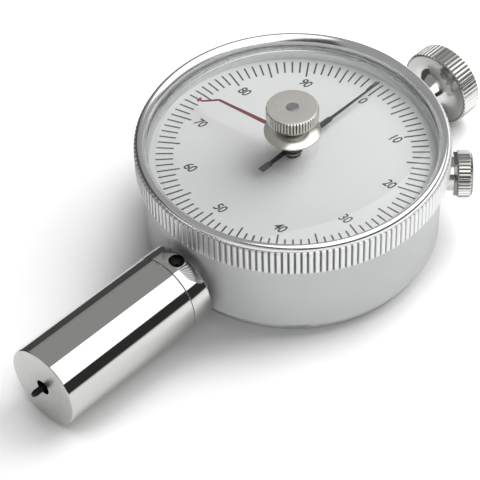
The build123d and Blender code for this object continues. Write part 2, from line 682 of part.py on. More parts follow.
def movement_bridge():
    bridge = rod(bridge_radius, bridge_bottom, bridge_top)
    radii = (PIVOT_RADIUS, POINTER_ARBOR_RADIUS, PIVOT_RADIUS)
    for place, radius in zip(arbor_places(), radii):
        bridge -= Pos(*place, 0) * through(radius + RUNNING, bridge_bottom, bridge_top)
    for place in BRIDGE_WINDOW_PLACES:
        bridge -= Pos(*place, 0) * through(BRIDGE_WINDOW, bridge_bottom, bridge_top)
    screw_hole = through(SMALL_SCREW_RADIUS + FIT, bridge_bottom, bridge_top)
    return bridge - circle_of(screw_hole, pillar_circle, PILLAR_ANGLES)


def small_screw(seat):
    """Cheese-head screw whose head sits on a face at the height seat."""
    head = seat + SMALL_SCREW_HEAD_HEIGHT
    end = seat - SMALL_SCREW_BITE
    screw = turned([
        (0, end), (SMALL_SCREW_RADIUS, end), (SMALL_SCREW_RADIUS, seat), (SMALL_SCREW_HEAD, seat),
        (SMALL_SCREW_HEAD, head), (0, head)])
    reach = SMALL_SCREW_HEAD + PAST
    half = SMALL_SCREW_SLOT / 2
    return screw - block(-reach, reach, -half, half, head - SMALL_SCREW_SLOT_DEPTH, head + PAST)


def bridge_screws():
    return circle_of(small_screw(bridge_top), pillar_circle, PILLAR_ANGLES)


def plate_screws():
    return circle_of(small_screw(plate_top), plate_screw_circle, PLATE_SCREW_ANGLES)


def rod_guide():
    """Block on the movement plate that steadies the rod's inner end, past the rack pinion."""
    near = ROD_END_REACH + ROD_GUIDE_BACK
    far = near + BUSH_LENGTH
    half = ROD_RADIUS + ROD_GUIDE_WALL
    guide = block(-half, half, -far, -near, plate_top, axis_height + ROD_RADIUS + ROD_GUIDE_ROOF)
    return guide - towards_foot(rod(ROD_RADIUS + SLIDING, near - PAST, far + PAST))


def guide_fork():
    """Slotted block that keeps the rod from turning."""
    start = ROD_RADIUS + FORK_GAP
    slot_end = GUIDE_PIN_LENGTH + FORK_SLOT_END
    slot = GUIDE_PIN_RADIUS + 2 * SLIDING
    near = -guide_pin_reach + TRAVEL + GUIDE_PIN_RADIUS + FORK_END
    far = -guide_pin_reach - GUIDE_PIN_RADIUS - FORK_END
    fork = block(start, slot_end + FORK_WALL, far, near, plate_top, axis_height + ROD_RADIUS + FORK_ROOF)
    return fork - block(0, slot_end, far - PAST, near + PAST, axis_height - slot, axis_height + slot)


# ---- Gear train ----
def arbor(x, y, radius, upper_radius, top):
    """Shaft with a pivot in the movement plate and an upper stretch through the bridge."""
    lower = plate_top + STOP_GAP
    upper = bridge_bottom - STOP_GAP
    shaft = turned([
        (0, plate_bottom + STOP_GAP), (PIVOT_RADIUS, plate_bottom + STOP_GAP), (PIVOT_RADIUS, lower),
        (radius, lower), (radius, upper), (upper_radius, upper), (upper_radius, top), (0, top)])
    return Pos(x, y, 0) * shaft


def rack_pinion():
    teeth = gear(
        RACK_PINION_TEETH, rack_module, RACK_PINION_SHIFT, (RACK_ADDENDUM, RACK_DEDENDUM),
        180 / RACK_PINION_TEETH, axis_height - RACK_PINION_HALF, axis_height + RACK_PINION_HALF,
        PINION_FLANK)
    shaft = arbor(rack_pinion_x, rack_pinion_y, ARBOR_RADIUS, PIVOT_RADIUS, bridge_top - STOP_GAP)
    return shaft + Pos(rack_pinion_x, rack_pinion_y, 0) * teeth


def drive_wheel():
    """Large wheel on the rack pinion's arbor, with a gap towards the dial's axis for a pinion tooth."""
    first_tooth = drive_bearing + 180 + 180 / WHEEL_TEETH
    top = drive_wheel_bottom + WHEEL_THICKNESS
    wheel = wheel_with_spokes(WHEEL_TEETH, DRIVE_HUB, first_tooth, drive_wheel_bottom, top)
    wheel += rod(WHEEL_BOSS_RADIUS, drive_wheel_bottom - WHEEL_BOSS_HEIGHT, drive_wheel_bottom)
    wheel -= rod(ARBOR_RADIUS + FIT, drive_wheel_bottom - WHEEL_BOSS_HEIGHT - PAST, top + PAST)
    return Pos(rack_pinion_x, rack_pinion_y, 0) * wheel


def centre_pinion():
    """Pinion on the pointer's arbor, with one tooth on the line to the drive wheel."""
    bottom = drive_wheel_bottom - WHEEL_SPACING
    top = take_up_bottom + WHEEL_THICKNESS + WHEEL_SPACING / 2
    teeth = gear(
        CENTRE_PINION_TEETH, WHEEL_MODULE, TRAIN_SHIFT, (WHEEL_ADDENDUM, WHEEL_DEDENDUM), drive_bearing,
        bottom, top, PINION_FLANK)
    return teeth + arbor(0, 0, ARBOR_RADIUS, POINTER_ARBOR_RADIUS, hub_top + STOP_GAP)


def take_up_wheel():
    """Wheel that the hairspring turns against the centre pinion, to take up the train's backlash."""
    past_tooth = (TAKE_UP_BEARING - drive_bearing) % (360 / CENTRE_PINION_TEETH)
    first_space = TAKE_UP_BEARING + 180 + past_tooth * CENTRE_PINION_TEETH / TAKE_UP_TEETH
    first_tooth = first_space + 180 / TAKE_UP_TEETH
    top = take_up_bottom + WHEEL_THICKNESS
    wheel = wheel_with_spokes(TAKE_UP_TEETH, TAKE_UP_HUB, first_tooth, take_up_bottom, top)
    wheel -= through(ARBOR_RADIUS + FIT, take_up_bottom, top)
    return Pos(take_up_x, take_up_y, 0) * wheel


def take_up_arbor():
    shaft = arbor(take_up_x, take_up_y, ARBOR_RADIUS, PIVOT_RADIUS, bridge_top - STOP_GAP)
    collet = rod(HAIRSPRING_INNER - FIT, hairspring_bottom - COLLET_LIP, take_up_bottom - FIT)
    return shaft + Pos(take_up_x, take_up_y, 0) * collet


def hairspring():
    """Flat spiral strip from the take-up arbor's collet to the stud."""
    steps = HAIRSPRING_TURNS * HAIRSPRING_SIDES
    growth = (HAIRSPRING_OUTER - HAIRSPRING_INNER - HAIRSPRING_STRIP) / steps
    inner = []
    outer = []
    for step in range(steps + 1):
        radius = HAIRSPRING_INNER + HAIRSPRING_FOOT + growth * step
        bearing = step * 360 / HAIRSPRING_SIDES
        inner.append(polar(radius, bearing))
        outer.append(polar(radius + HAIRSPRING_STRIP, bearing))
    strip = prism(inner + outer[::-1], hairspring_bottom, hairspring_bottom + HAIRSPRING_HEIGHT)
    return Pos(take_up_x, take_up_y, 0) * strip


def hairspring_stud():
    """Post on the movement plate, beside the hairspring's outer end."""
    place = HAIRSPRING_OUTER + HAIRSPRING_FOOT + FIT + STUD_POST_RADIUS
    post = rod(STUD_POST_RADIUS, plate_top, hairspring_bottom + HAIRSPRING_HEIGHT + COLLET_LIP)
    return Pos(take_up_x + place, take_up_y, 0) * post


# ---- Bezel group ----
def bezel():
    crest = bezel_radius - LIP_CREST_INSET
    shoulder = bezel_radius - BEZEL_RIB_DEPTH - FIT
    inner_edge = (lip_edge, ledge + EDGE)
    sides = Polyline(
        inner_edge, (lip_edge, ledge), (bezel_bore, ledge), (bezel_bore, bezel_bottom),
        (bezel_radius - EDGE, bezel_bottom), (bezel_radius, bezel_bottom + EDGE),
        (bezel_radius, bezel_band_top - BEZEL_RIB_DEPTH), (shoulder, bezel_band_top))
    middle = (crest + LIP_ROUND_OUT * (shoulder - crest), bezel_band_top + LIP_ROUND_UP * BEZEL_LIP)
    lip = ThreePointArc((shoulder, bezel_band_top), middle, (crest, lip_top))
    bevel = Line((crest, lip_top), inner_edge)
    body = revolve(make_face(Plane.XZ * (sides + lip + bevel)), Axis.Z)
    return body & ribbed(bezel_radius, BEZEL_RIBS, BEZEL_RIB_DEPTH, bezel_bottom - PAST, lip_top + PAST)


def roll_drop(radius):
    """How far the crystal's curved edge has fallen below its flat at a radius."""
    curve = (CRYSTAL_ROLL ** 2 + CRYSTAL_RISE ** 2) / (2 * CRYSTAL_RISE)
    return curve - sqrt(curve ** 2 - (radius - flat_radius) ** 2)


def crystal():
    """Window, flat in the middle with a curved edge and a rim that the bezel's lip holds down."""
    outer_middle = dome_radius - CRYSTAL_ROLL / 2
    inner_middle = (flat_radius + spacer_bore) / 2
    rim = Polyline(
        (spacer_bore, crystal_bottom), (crystal_radius, crystal_bottom), (crystal_radius, ledge - FIT),
        (dome_radius, ledge - FIT))
    outside = ThreePointArc(
        (dome_radius, ledge - FIT), (outer_middle, crown - roll_drop(outer_middle)), (flat_radius, crown))
    flat = Polyline(
        (flat_radius, crown), (BUSH_HOLE, crown), (BUSH_HOLE, crystal_under), (flat_radius, crystal_under))
    inside = ThreePointArc(
        (flat_radius, crystal_under), (inner_middle, crystal_under - roll_drop(inner_middle)),
        (spacer_bore, crystal_bottom))
    return revolve(make_face(Plane.XZ * (rim + outside + flat + inside)), Axis.Z)


def spacer_ring():
    return ring(bezel_bore - FIT, spacer_bore, dial_top, crystal_bottom - FIT)


def dial_plate():
    return ring(crystal_radius, DIAL_HOLE_RADIUS, dial_bottom + FIT, dial_top - FIT)


def bezel_retainer():
    """Flanged ring that holds the dial in the bezel and turns in the case as its bearing."""
    inner = sleeve_radius - SLEEVE_WALL
    flange = bezel_bore - FIT
    groove = sleeve_radius - SNAP_RING_WIDTH / 2
    groove_top = case_top - SNAP_RING_DROP + STOP_GAP
    groove_bottom = groove_top - SNAP_RING_HEIGHT - 2 * STOP_GAP
    return turned([
        (inner, sleeve_bottom), (sleeve_radius, sleeve_bottom), (sleeve_radius, groove_bottom),
        (groove, groove_bottom), (groove, groove_top), (sleeve_radius, groove_top),
        (sleeve_radius, bezel_bottom), (flange, bezel_bottom), (flange, dial_bottom), (inner, dial_bottom)])


def snap_ring():
    """Split ring sprung into the case's groove, which keeps the bezel on."""
    outer = case_bore + SNAP_RING_BITE - 2 * FIT
    top = case_top - SNAP_RING_DROP
    bottom = top - SNAP_RING_HEIGHT
    half = SNAP_RING_OPENING / 2
    closed = ring(outer, outer - SNAP_RING_WIDTH, bottom, top)
    return closed - block(-outer - PAST, 0, -half, half, bottom - PAST, top + PAST)


def flange_bush():
    """Bush rolled into the crystal's centre, with a wide domed flange on the outside."""
    bore = SPINDLE_RADIUS + RUNNING
    edge_top = bush_seat + BUSH_EDGE
    collar_foot = bush_top - BUSH_COLLAR_HEIGHT
    turned_sides = Polyline(
        (BUSH_COLLAR_RADIUS, collar_foot), (BUSH_COLLAR_RADIUS, bush_top), (bore, bush_top),
        (bore, bush_roll_bottom), (BUSH_ROLL_RADIUS, bush_roll_bottom), (BUSH_ROLL_RADIUS, bush_roll_top),
        (BUSH_HOLE - FIT, bush_roll_top), (BUSH_HOLE - FIT, bush_seat),
        (BUSH_FLANGE_RADIUS - SMALL_EDGE, bush_seat), (BUSH_FLANGE_RADIUS, bush_seat + SMALL_EDGE),
        (BUSH_FLANGE_RADIUS, edge_top))
    dome = ThreePointArc(
        (BUSH_FLANGE_RADIUS, edge_top), (BUSH_DOME_OUT, bush_seat + BUSH_DOME_UP),
        (BUSH_COLLAR_RADIUS, collar_foot))
    return revolve(make_face(Plane.XZ * (turned_sides + dome)), Axis.Z)


# ---- Main pointer ----
def pointer_hub():
    return ring(POINTER_HUB_RADIUS, POINTER_ARBOR_RADIUS + FIT, hub_bottom, hub_top)


def main_pointer():
    """Flat pointer along +Y: a bar, then a thin needle, with a paddle on its tail."""
    bar = POINTER_BAR_WIDTH / 2
    needle = POINTER_NEEDLE_WIDTH / 2
    tail = POINTER_TAIL_WIDTH / 2
    paddle = POINTER_PADDLE_WIDTH / 2
    neck = POINTER_TAIL_LENGTH - POINTER_TAIL_PADDLE
    right = [
        (paddle, -POINTER_TAIL_LENGTH), (paddle, -neck), (tail, POINTER_STEP - neck), (bar, 0),
        (bar, POINTER_BAR_LENGTH), (needle, POINTER_BAR_LENGTH + POINTER_STEP), (needle / 2, pointer_length)]
    left = [(-x, y) for x, y in reversed(right)]
    pointer = prism(right + left, pointer_bottom, pointer_top)
    pointer += rod(POINTER_EYE, pointer_bottom, pointer_top)
    return pointer - through(POINTER_HUB_RADIUS + FIT, pointer_bottom, pointer_top)


# ---- Drag pointer group ----
def drag_place(part):
    """Turns a piece built along +X to the drag pointer's reading, clockwise from the zero at +Y."""
    return Rot(0, 0, 90 - 3.6 * DRAG_READING) * part


def drag_pointer():
    """Flat arm under the crystal that cranks down to pass just above the main pointer."""
    arm = drag_arm_bottom
    tip = pointer_top + DRAG_PASSING
    crank_end = drag_length - DRAG_FLAT_TIP
    hook = drag_length - DRAG_HOOK_LENGTH
    back = -DRAG_HUB_RADIUS - PAST
    lower_side = [(back, arm), (DRAG_CRANK, arm), (crank_end, tip), (drag_length, tip)]
    upper_side = [(x, z + POINTER_THICKNESS) for x, z in reversed(lower_side)]
    profile = make_face(Plane.XZ * Polyline(*lower_side, *upper_side, close=True))
    left = [
        (0, DRAG_ARM_WIDTH / 2), (DRAG_CRANK, DRAG_BEND_WIDTH / 2), (hook, DRAG_TIP_WIDTH / 2),
        (hook, DRAG_HOOK_WIDTH / 2), (drag_length + PAST, DRAG_HOOK_WIDTH / 2)]
    right = [(x, -y) for x, y in reversed(left)]
    high = arm + POINTER_THICKNESS
    plan = prism(left + right, tip - PAST, high + PAST) + through(DRAG_HUB_RADIUS, tip, high)
    flat = extrude(profile, DRAG_HUB_RADIUS + PAST, both=True) & plan
    return drag_place(flat - through(SPINDLE_RADIUS + FIT, tip, high))


def drag_hub():
    top = drag_arm_bottom - FIT
    return ring(DRAG_HUB_RADIUS, SPINDLE_RADIUS + FIT, top - DRAG_HUB_HEIGHT, top)


def drag_spindle():
    """Pin through the bush, riveted over the knob, with a notch on each side of its head."""
    bottom = drag_arm_bottom - DRAG_HUB_HEIGHT
    seat = spindle_top - SPINDLE_HEAD_HEIGHT
    spindle = turned([
        (0, bottom), (SPINDLE_RADIUS, bottom), (SPINDLE_RADIUS, seat), (SPINDLE_HEAD_RADIUS, seat),
        (SPINDLE_HEAD_RADIUS, spindle_top), (0, spindle_top)])
    half = SPINDLE_NOTCH / 2
    notch_end = SPINDLE_HEAD_RADIUS - SPINDLE_NOTCH_DEPTH
    floor = spindle_top - half
    for side in (1, -1):
        near, far = sorted((side * notch_end, side * (SPINDLE_HEAD_RADIUS + PAST)))
        spindle -= block(-half, half, near, far, floor, spindle_top + PAST)
    return spindle


def friction_washer():
    return ring(WASHER_RADIUS, SPINDLE_RADIUS + FIT, washer_bottom, washer_bottom + WASHER_THICKNESS)


def drag_knob():
    band = knob_top - DRAG_KNOB_BAND
    bore = SPINDLE_RADIUS + FIT
    foot = WASHER_RADIUS - EDGE
    shoulder = DRAG_KNOB_RADIUS - EDGE
    knob = turned([
        (bore, knob_bottom), (foot, knob_bottom), (foot, knob_bottom + EDGE),
        (shoulder - DRAG_KNOB_TAPER, knob_bottom + EDGE), (shoulder - FIT, band),
        (DRAG_KNOB_RADIUS, band + EDGE), (DRAG_KNOB_RADIUS, knob_top - EDGE), (shoulder, knob_top),
        (bore, knob_top)])
    knob -= rod(SPINDLE_HEAD_RADIUS + FIT, spindle_top - SPINDLE_HEAD_HEIGHT - FIT, knob_top + PAST)
    return knob & ribbed(DRAG_KNOB_RADIUS, DRAG_KNOB_RIBS, EDGE, knob_bottom - PAST, knob_top + PAST)


# ---- Top knob ----
def top_knob():
    """Round grip with dished faces, on a flared neck that screws down to the case."""
    near = knob_seat + KNOB_NECK_LENGTH
    far = near + KNOB_WIDTH
    dish = far - KNOB_DISH_DEPTH
    foot_end = knob_seat + KNOB_FOOT_LENGTH
    stud_end = knob_seat + STUD_HOLD
    sides = Polyline(
        (KNOB_DISH_RADIUS, near), (KNOB_RADIUS - EDGE, near), (KNOB_RADIUS, near + EDGE),
        (KNOB_RADIUS, far - EDGE), (KNOB_RADIUS - EDGE, far), (KNOB_DISH_RADIUS, far),
        (KNOB_DISH_RADIUS - KNOB_DISH_SLOPE, dish), (0, dish), (0, stud_end), (STUD_RADIUS + FIT, stud_end),
        (STUD_RADIUS + FIT, knob_seat), (KNOB_FOOT_RADIUS, knob_seat), (KNOB_FOOT_RADIUS, foot_end),
        (KNOB_NECK_RADIUS, foot_end + KNOB_FOOT_SLOPE), (KNOB_NECK_RADIUS, near - KNOB_FLARE_LENGTH))
    middle = (
        KNOB_NECK_RADIUS + KNOB_FLARE_OUT * (KNOB_DISH_RADIUS - KNOB_NECK_RADIUS),
        near - KNOB_FLARE_BACK * KNOB_FLARE_LENGTH)
    flare = ThreePointArc((KNOB_NECK_RADIUS, near - KNOB_FLARE_LENGTH), middle, (KNOB_DISH_RADIUS, near))
    knob = revolve(make_face(Plane.XZ * (sides + flare)), Axis.Z)
    return towards_knob(knob & ribbed(KNOB_RADIUS, KNOB_RIBS, EDGE, 0, far + PAST))


def knob_stud():
    return towards_knob(rod(STUD_RADIUS, knob_boss_start(), knob_seat + STUD_HOLD - STOP_GAP))


# ---- Bezel clamp ----
def clamp_pad():
    return towards_clamp(rod(CLAMP_PAD_RADIUS, pad_start, pad_start + CLAMP_PAD_LENGTH))


def clamp_screw():
    """Knurled thumb screw through the case's wall, with a plain shoulder and a domed end."""
    start = pad_start + CLAMP_PAD_LENGTH + FIT
    head = clamp_shoulder + CLAMP_SHOULDER_LENGTH
    end = head + CLAMP_HEAD_LENGTH
    thread = CLAMP_THREAD_RADIUS - RUNNING
    neck = clamp_shoulder - CLAMP_NECK_LENGTH
    screw = turned([
        (0, start), (thread, start), (thread, neck), (CLAMP_NECK_RADIUS, neck),
        (CLAMP_NECK_RADIUS, clamp_shoulder), (CLAMP_SHOULDER_RADIUS, clamp_shoulder),
        (CLAMP_SHOULDER_RADIUS, head), (CLAMP_HEAD_RADIUS, head + EDGE), (CLAMP_HEAD_RADIUS, end - EDGE),
        (CLAMP_HEAD_RADIUS - CLAMP_DOME_EDGE, end + CLAMP_DOME / 2), (CLAMP_FACE_RADIUS, end + CLAMP_DOME),
        (0, end + CLAMP_DOME)])
    return towards_clamp(screw & ribbed(CLAMP_HEAD_RADIUS, CLAMP_RIBS, EDGE, 0, end + CLAMP_DOME + PAST))


PIECES = (
    case_body, back_cover, cover_screws, stem_tube, foot_barrel, locking_collar, collar_set_screw,
    lower_rod_bush, upper_rod_bush, spring_adjuster, calibrated_spring, plunger_rod, guide_pin, indenter,
    movement_plate, pillars, movement_bridge, bridge_screws, plate_screws, rod_guide, guide_fork,
    rack_pinion, drive_wheel, centre_pinion, take_up_wheel, take_up_arbor, hairspring, hairspring_stud,
    bezel, crystal, spacer_ring, dial_plate, bezel_retainer, snap_ring, flange_bush,
    pointer_hub, main_pointer, drag_pointer, drag_hub, drag_spindle, friction_washer, drag_knob,
    top_knob, knob_stud, clamp_pad, clamp_screw)


def build():
    os.makedirs("parts", exist_ok=True)
    for piece in PIECES:
        made = piece()
        solids = made if isinstance(made, list) else [made]
        flat = [solid for shape in solids for solid in shape.solids()]
        export_step(flat[0] if len(flat) == 1 else Compound(flat), f"parts/{piece.__name__}.step")


build()
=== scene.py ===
import json
from math import atan2, ceil, cos, hypot, pi, radians, sin, tan

import bmesh
import bpy
from bpy.props import FloatProperty, FloatVectorProperty, IntProperty, PointerProperty
from mathutils import Matrix, Quaternion, Vector


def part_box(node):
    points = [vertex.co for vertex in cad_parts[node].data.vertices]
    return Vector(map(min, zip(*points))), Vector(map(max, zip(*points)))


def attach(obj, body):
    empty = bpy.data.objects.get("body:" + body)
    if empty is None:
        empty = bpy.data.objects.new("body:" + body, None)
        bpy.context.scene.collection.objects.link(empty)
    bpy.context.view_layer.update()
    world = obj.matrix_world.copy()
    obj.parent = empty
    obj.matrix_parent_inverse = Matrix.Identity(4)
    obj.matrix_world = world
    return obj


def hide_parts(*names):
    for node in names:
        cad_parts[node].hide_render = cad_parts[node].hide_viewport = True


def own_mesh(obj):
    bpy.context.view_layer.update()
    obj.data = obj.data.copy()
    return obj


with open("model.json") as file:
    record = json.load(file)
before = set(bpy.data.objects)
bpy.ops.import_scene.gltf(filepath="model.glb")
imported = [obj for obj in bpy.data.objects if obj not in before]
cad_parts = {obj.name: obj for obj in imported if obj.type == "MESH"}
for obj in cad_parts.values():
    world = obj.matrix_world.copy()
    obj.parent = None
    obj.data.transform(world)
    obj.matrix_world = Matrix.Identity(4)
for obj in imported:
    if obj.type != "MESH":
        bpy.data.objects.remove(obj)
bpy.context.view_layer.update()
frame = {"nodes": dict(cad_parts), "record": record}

bl_info = {
    "name": "Dial Hardness Tester",
    "version": (1, 0, 0),
    "blender": (4, 5, 0),
    "location": "View3D > Sidebar > Hardness Tester",
    "description": "Builds the visible pieces of a hand-held dial hardness tester round its CAD frame",
    "category": "Add Mesh",
}

MM = 0.001
CREASE = radians(32)      # edges sharper than this are left crisp
MERGE = 0.002 * MM        # doubles closer than this are one vertex
ARC_STEP = radians(15)    # turn of each straight length in a rounded corner
STRAIGHT = pi - 0.01      # corners more open than this are left as they are
SIDE_SHARE = 0.49         # most of a side that the rounding of a corner may take
ON_AXIS = 1e-6            # points nearer to the axis than this lie on it
NO_LIMIT = 1e9            # greatest radius of a column that no groove cuts
NOISE_ENDS = (0.3, 0.7)   # values of a noise that take the ends of a range
KNURL_SHADE_DEPTH = 0.3         # depth, in millimetres, over which the knobs' grooves are painted darker as shade
RIB_CROWN = 0.06          # fall of a rib's crest towards its edges, as a share of the groove's depth
GROOVE_WALL = 1.45        # steepness of a groove's sides


def node_box(node):
    """Lowest and highest corner of a CAD node, in millimetres."""
    low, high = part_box(node)
    return low / MM, high / MM


# ---- Places that the pieces share, read from the frame ----
BARREL_LOW, BARREL_HIGH = node_box("foot_barrel")
COLLAR_LOW, COLLAR_HIGH = node_box("locking_collar")
STEM_LOW, STEM_HIGH = node_box("stem_tube")
BEZEL_LOW, BEZEL_HIGH = node_box("bezel")
CRYSTAL_LOW, CRYSTAL_HIGH = node_box("crystal")
DIAL_LOW, DIAL_HIGH = node_box("dial_plate")
SPACER_LOW, SPACER_HIGH = node_box("spacer_ring")
BUSH_LOW, BUSH_HIGH = node_box("flange_bush")
DRAG_KNOB_LOW, DRAG_KNOB_HIGH = node_box("drag_knob")
SPINDLE_LOW, SPINDLE_HIGH = node_box("drag_spindle")
DRAG_HUB_LOW, DRAG_HUB_HIGH = node_box("drag_hub")
HUB_LOW, HUB_HIGH = node_box("pointer_hub")
KNOB_LOW, KNOB_HIGH = node_box("top_knob")
INDENTER_LOW, INDENTER_HIGH = node_box("indenter")
SCREW_LOW, SCREW_HIGH = node_box("cover_screws")
PAD_LOW, PAD_HIGH = node_box("clamp_pad")
CLAMP_LOW, CLAMP_HIGH = node_box("clamp_screw")
DRAG_ARM_LOW, DRAG_ARM_HIGH = node_box("drag_pointer")

AXIS_HEIGHT = (BARREL_LOW.z + BARREL_HIGH.z) / 2
CLAMP_HEIGHT = (CLAMP_LOW.z + CLAMP_HIGH.z) / 2
PAD_MIDDLE = (PAD_LOW + PAD_HIGH) / 2
CLAMP_BEARING = atan2(PAD_MIDDLE.y, PAD_MIDDLE.x)

UPRIGHT = Matrix.Identity(4)
TOWARDS_FOOT = Matrix.Translation((0, 0, AXIS_HEIGHT)) @ Matrix.Rotation(pi / 2, 4, "X")
TOWARDS_KNOB = Matrix.Translation((0, 0, AXIS_HEIGHT)) @ Matrix.Rotation(-pi / 2, 4, "X")
TOWARDS_CLAMP = (
    Matrix.Translation((0, 0, CLAMP_HEIGHT))
    @ Matrix.Rotation(CLAMP_BEARING, 4, "Z")
    @ Matrix.Rotation(pi / 2, 4, "Y"))


# ---- Settings ----
def length(label, description, millimetres):
    return FloatProperty(
        name=label, description=description, default=millimetres * MM, min=0, precision=5, unit="LENGTH")


def colour(label, description, value):
    return FloatVectorProperty(
        name=label, description=description, default=value, min=0, max=1, size=3, subtype="COLOR")


def number_of(label, description, default, least):
    return IntProperty(name=label, description=description, default=default, min=least)


def amount(label, description, default, least=0, **limits):
    return FloatProperty(name=label, description=description, default=default, min=least, **limits)


class HardnessFinishSettings(bpy.types.PropertyGroup):
    enamel: colour("Enamel", "Satin enamel on the case", (0.56, 0.568, 0.57))
    aluminium: colour("Aluminium", "Turned aluminium of the bezel and back cover", (0.71, 0.715, 0.72))
    chrome: colour("Chrome", "Bright plate on the foot, knobs and clamp screw", (0.575, 0.572, 0.555))
    nickel: colour("Nickel", "Satin nickel of the drag knob and its flange", (0.62, 0.605, 0.565))
    steel: colour("Steel", "Turned and ground steel", (0.50, 0.50, 0.51))
    # On the indenter this black stands in for its steel's dark reflection: a painted reflection.
    oxide: colour("Black oxide", "Blackened steel of the indenter and set screw", (0.02, 0.02, 0.022))
    brass: colour("Brass", "Plates, wheels and bushes", (0.62, 0.45, 0.19))
    blued_spring: colour("Blued spring", "Tempered spring steel", (0.10, 0.13, 0.24))
    dial: colour("Dial", "Silvered dial face", (0.86, 0.865, 0.865))
    ink: colour("Ink", "Printed divisions and numerals", (0.02, 0.02, 0.024))
    pointer_black: colour("Main pointer", "Matt black pointer", (0.010, 0.010, 0.011))
    pointer_red: colour("Drag pointer", "Red drag pointer", (0.20, 0.012, 0.022))
    fibre: colour("Fibre", "Friction washer under the drag knob", (0.16, 0.11, 0.08))
    crystal: colour("Crystal", "Faint tint of the window", (0.995, 1.0, 0.997))
    floor: colour("Floor", "Plain surface that the instrument lies on", (0.93, 0.93, 0.93))


class HardnessBezelSettings(bpy.types.PropertyGroup):
    ribs: number_of("Ribs", "Ribs round the turning bezel", 160, 12)
    rib_depth: length("Rib depth", "Depth of the grooves between the ribs", 0.42)
    groove_share: amount("Groove share", "Share of the pitch that the groove takes", 0.44, 0.1, max=0.9,
                         subtype="FACTOR")


class HardnessDialSettings(bpy.types.PropertyGroup):
    divisions: number_of("Divisions", "Divisions round the scale", 100, 10)
    long_every: number_of("Long every", "Divisions from one long mark to the next", 5, 1)
    mark_end: length("Mark end", "Radius at which every mark ends", 25.95)
    long_mark: length("Long mark", "Length of a long mark", 4.4)
    short_mark: length("Short mark", "Length of a short mark", 3.35)
    mark_width: length("Mark width", "Width of a mark", 0.32)
    print_height: length("Print height", "Thickness of the printed ink", 0.012)
    numeral_radius: length("Numeral radius", "Radius of the numerals' middles", 19.7)
    numeral_size: length("Numeral size", "Type size of the numerals", 2.85)
    drag_reading: amount("Drag reading", "Where the drag pointer stands", 72.8, max=100)


class HardnessKnobSettings(bpy.types.PropertyGroup):
    top_ribs: number_of("Top knob ribs", "Ribs round the top knob", 56, 8)
    drag_ribs: number_of("Drag knob ribs", "Ribs round the drag knob", 52, 8)
    clamp_ribs: number_of("Clamp screw ribs", "Ribs round the clamp screw", 36, 8)
    rib_depth: length("Rib depth", "Depth of the knobs' grooves", 0.32)
    groove_share: amount("Groove share", "Share of the pitch that the groove takes", 0.5, 0.1, max=0.9,
                         subtype="FACTOR")


class HardnessStageSettings(bpy.types.PropertyGroup):
    key_power: amount("Key lamp", "Power of the large lamp overhead, in watts", 1.07)
    fill_power: amount("Fill lamp", "Power of the low lamp in front, in watts", 4.8)
    world_light: amount("Ambient", "Strength of the soft light from all round", 0.20)
    floor_glow: amount("Floor glow", "Paleness that the backdrop adds to the floor", 0.46)
    lens: amount("Lens", "Focal length of the camera", 165.79, 1, unit="CAMERA")


# ---- Node materials ----
def wire(tree, kind, inputs=None, **settings):
    """Adds a node, sets it, and links or sets its inputs by name or number."""
    node = tree.nodes.new(kind)
    for key, value in settings.items():
        setattr(node, key, value)
    for key, value in (inputs or {}).items():
        if isinstance(value, bpy.types.NodeSocket):
            tree.links.new(value, node.inputs[key])
        else:
            node.inputs[key].default_value = value
    return node


def calculate(tree, operation, *values):
    return wire(tree, "ShaderNodeMath", dict(enumerate(values)), operation=operation).outputs[0]


def object_place(tree):
    return wire(tree, "ShaderNodeTexCoord").outputs["Object"]


def grain(tree, size, stretch=(1, 1, 1), detail=2.0):
    """Noise whose features are about size millimetres, longer where stretch is above 1."""
    scale = tuple(1 / (size * MM * factor) for factor in stretch)
    place = wire(tree, "ShaderNodeMapping", {"Vector": object_place(tree), "Scale": scale})
    noise = {"Vector": place.outputs[0], "Scale": 1.0, "Detail": detail}
    return wire(tree, "ShaderNodeTexNoise", noise).outputs["Fac"]


def ramp(tree, factor, *stops):
    """Colour ramp of (position, grey or colour) stops."""
    node = wire(tree, "ShaderNodeValToRGB", {"Fac": factor})
    points = node.color_ramp.elements
    while len(points) < len(stops):
        points.new(1.0)
    for point, (position, value) in zip(points, stops):
        point.position = position
        rgb = value if isinstance(value, tuple) else (value,) * 3
        point.color = (*rgb, 1)
    return node.outputs["Color"]


def over_noise(tree, noise, low, high):
    """Greys or colours from low to high over the middle of a noise."""
    return ramp(tree, noise, *zip(NOISE_ENDS, (low, high)))


def spread(tree, value, low, high, new_low=0.0, new_high=1.0):
    limits = {"Value": value, "From Min": low, "From Max": high, "To Min": new_low, "To Max": new_high}
    return wire(tree, "ShaderNodeMapRange", limits).outputs["Result"]


def over_reach(tree, place, low, high, *ends):
    """Spread over a reach of a piece that is given in millimetres."""
    return spread(tree, place, low * MM, high * MM, *ends)


def blended(tree, factor, first, second):
    """The first colour where the factor is 0, and the second where it is 1."""
    sides = {"Factor": factor, 6: first, 7: second}
    return wire(tree, "ShaderNodeMix", sides, data_type="RGBA").outputs[2]


def shaded(colour_value, share):
    return tuple(min(1.0, channel * share) for channel in colour_value)


def tinted(tree, noise, base, low, high):
    """The base colour, a little darker or lighter by the noise."""
    return over_noise(tree, noise, shaded(base, low), shaded(base, high))


def new_finish(name, metallic, roughness, **sockets):
    """Node material with its constant shader values set on the shader itself."""
    material = bpy.data.materials.new(name)
    material.use_nodes = True
    tree = material.node_tree
    shader = tree.nodes["Principled BSDF"]
    shader.inputs["Metallic"].default_value = metallic
    shader.inputs["Roughness"].default_value = roughness
    for key, value in sockets.items():
        shader.inputs[key.replace("_", " ")].default_value = value
    return tree, shader


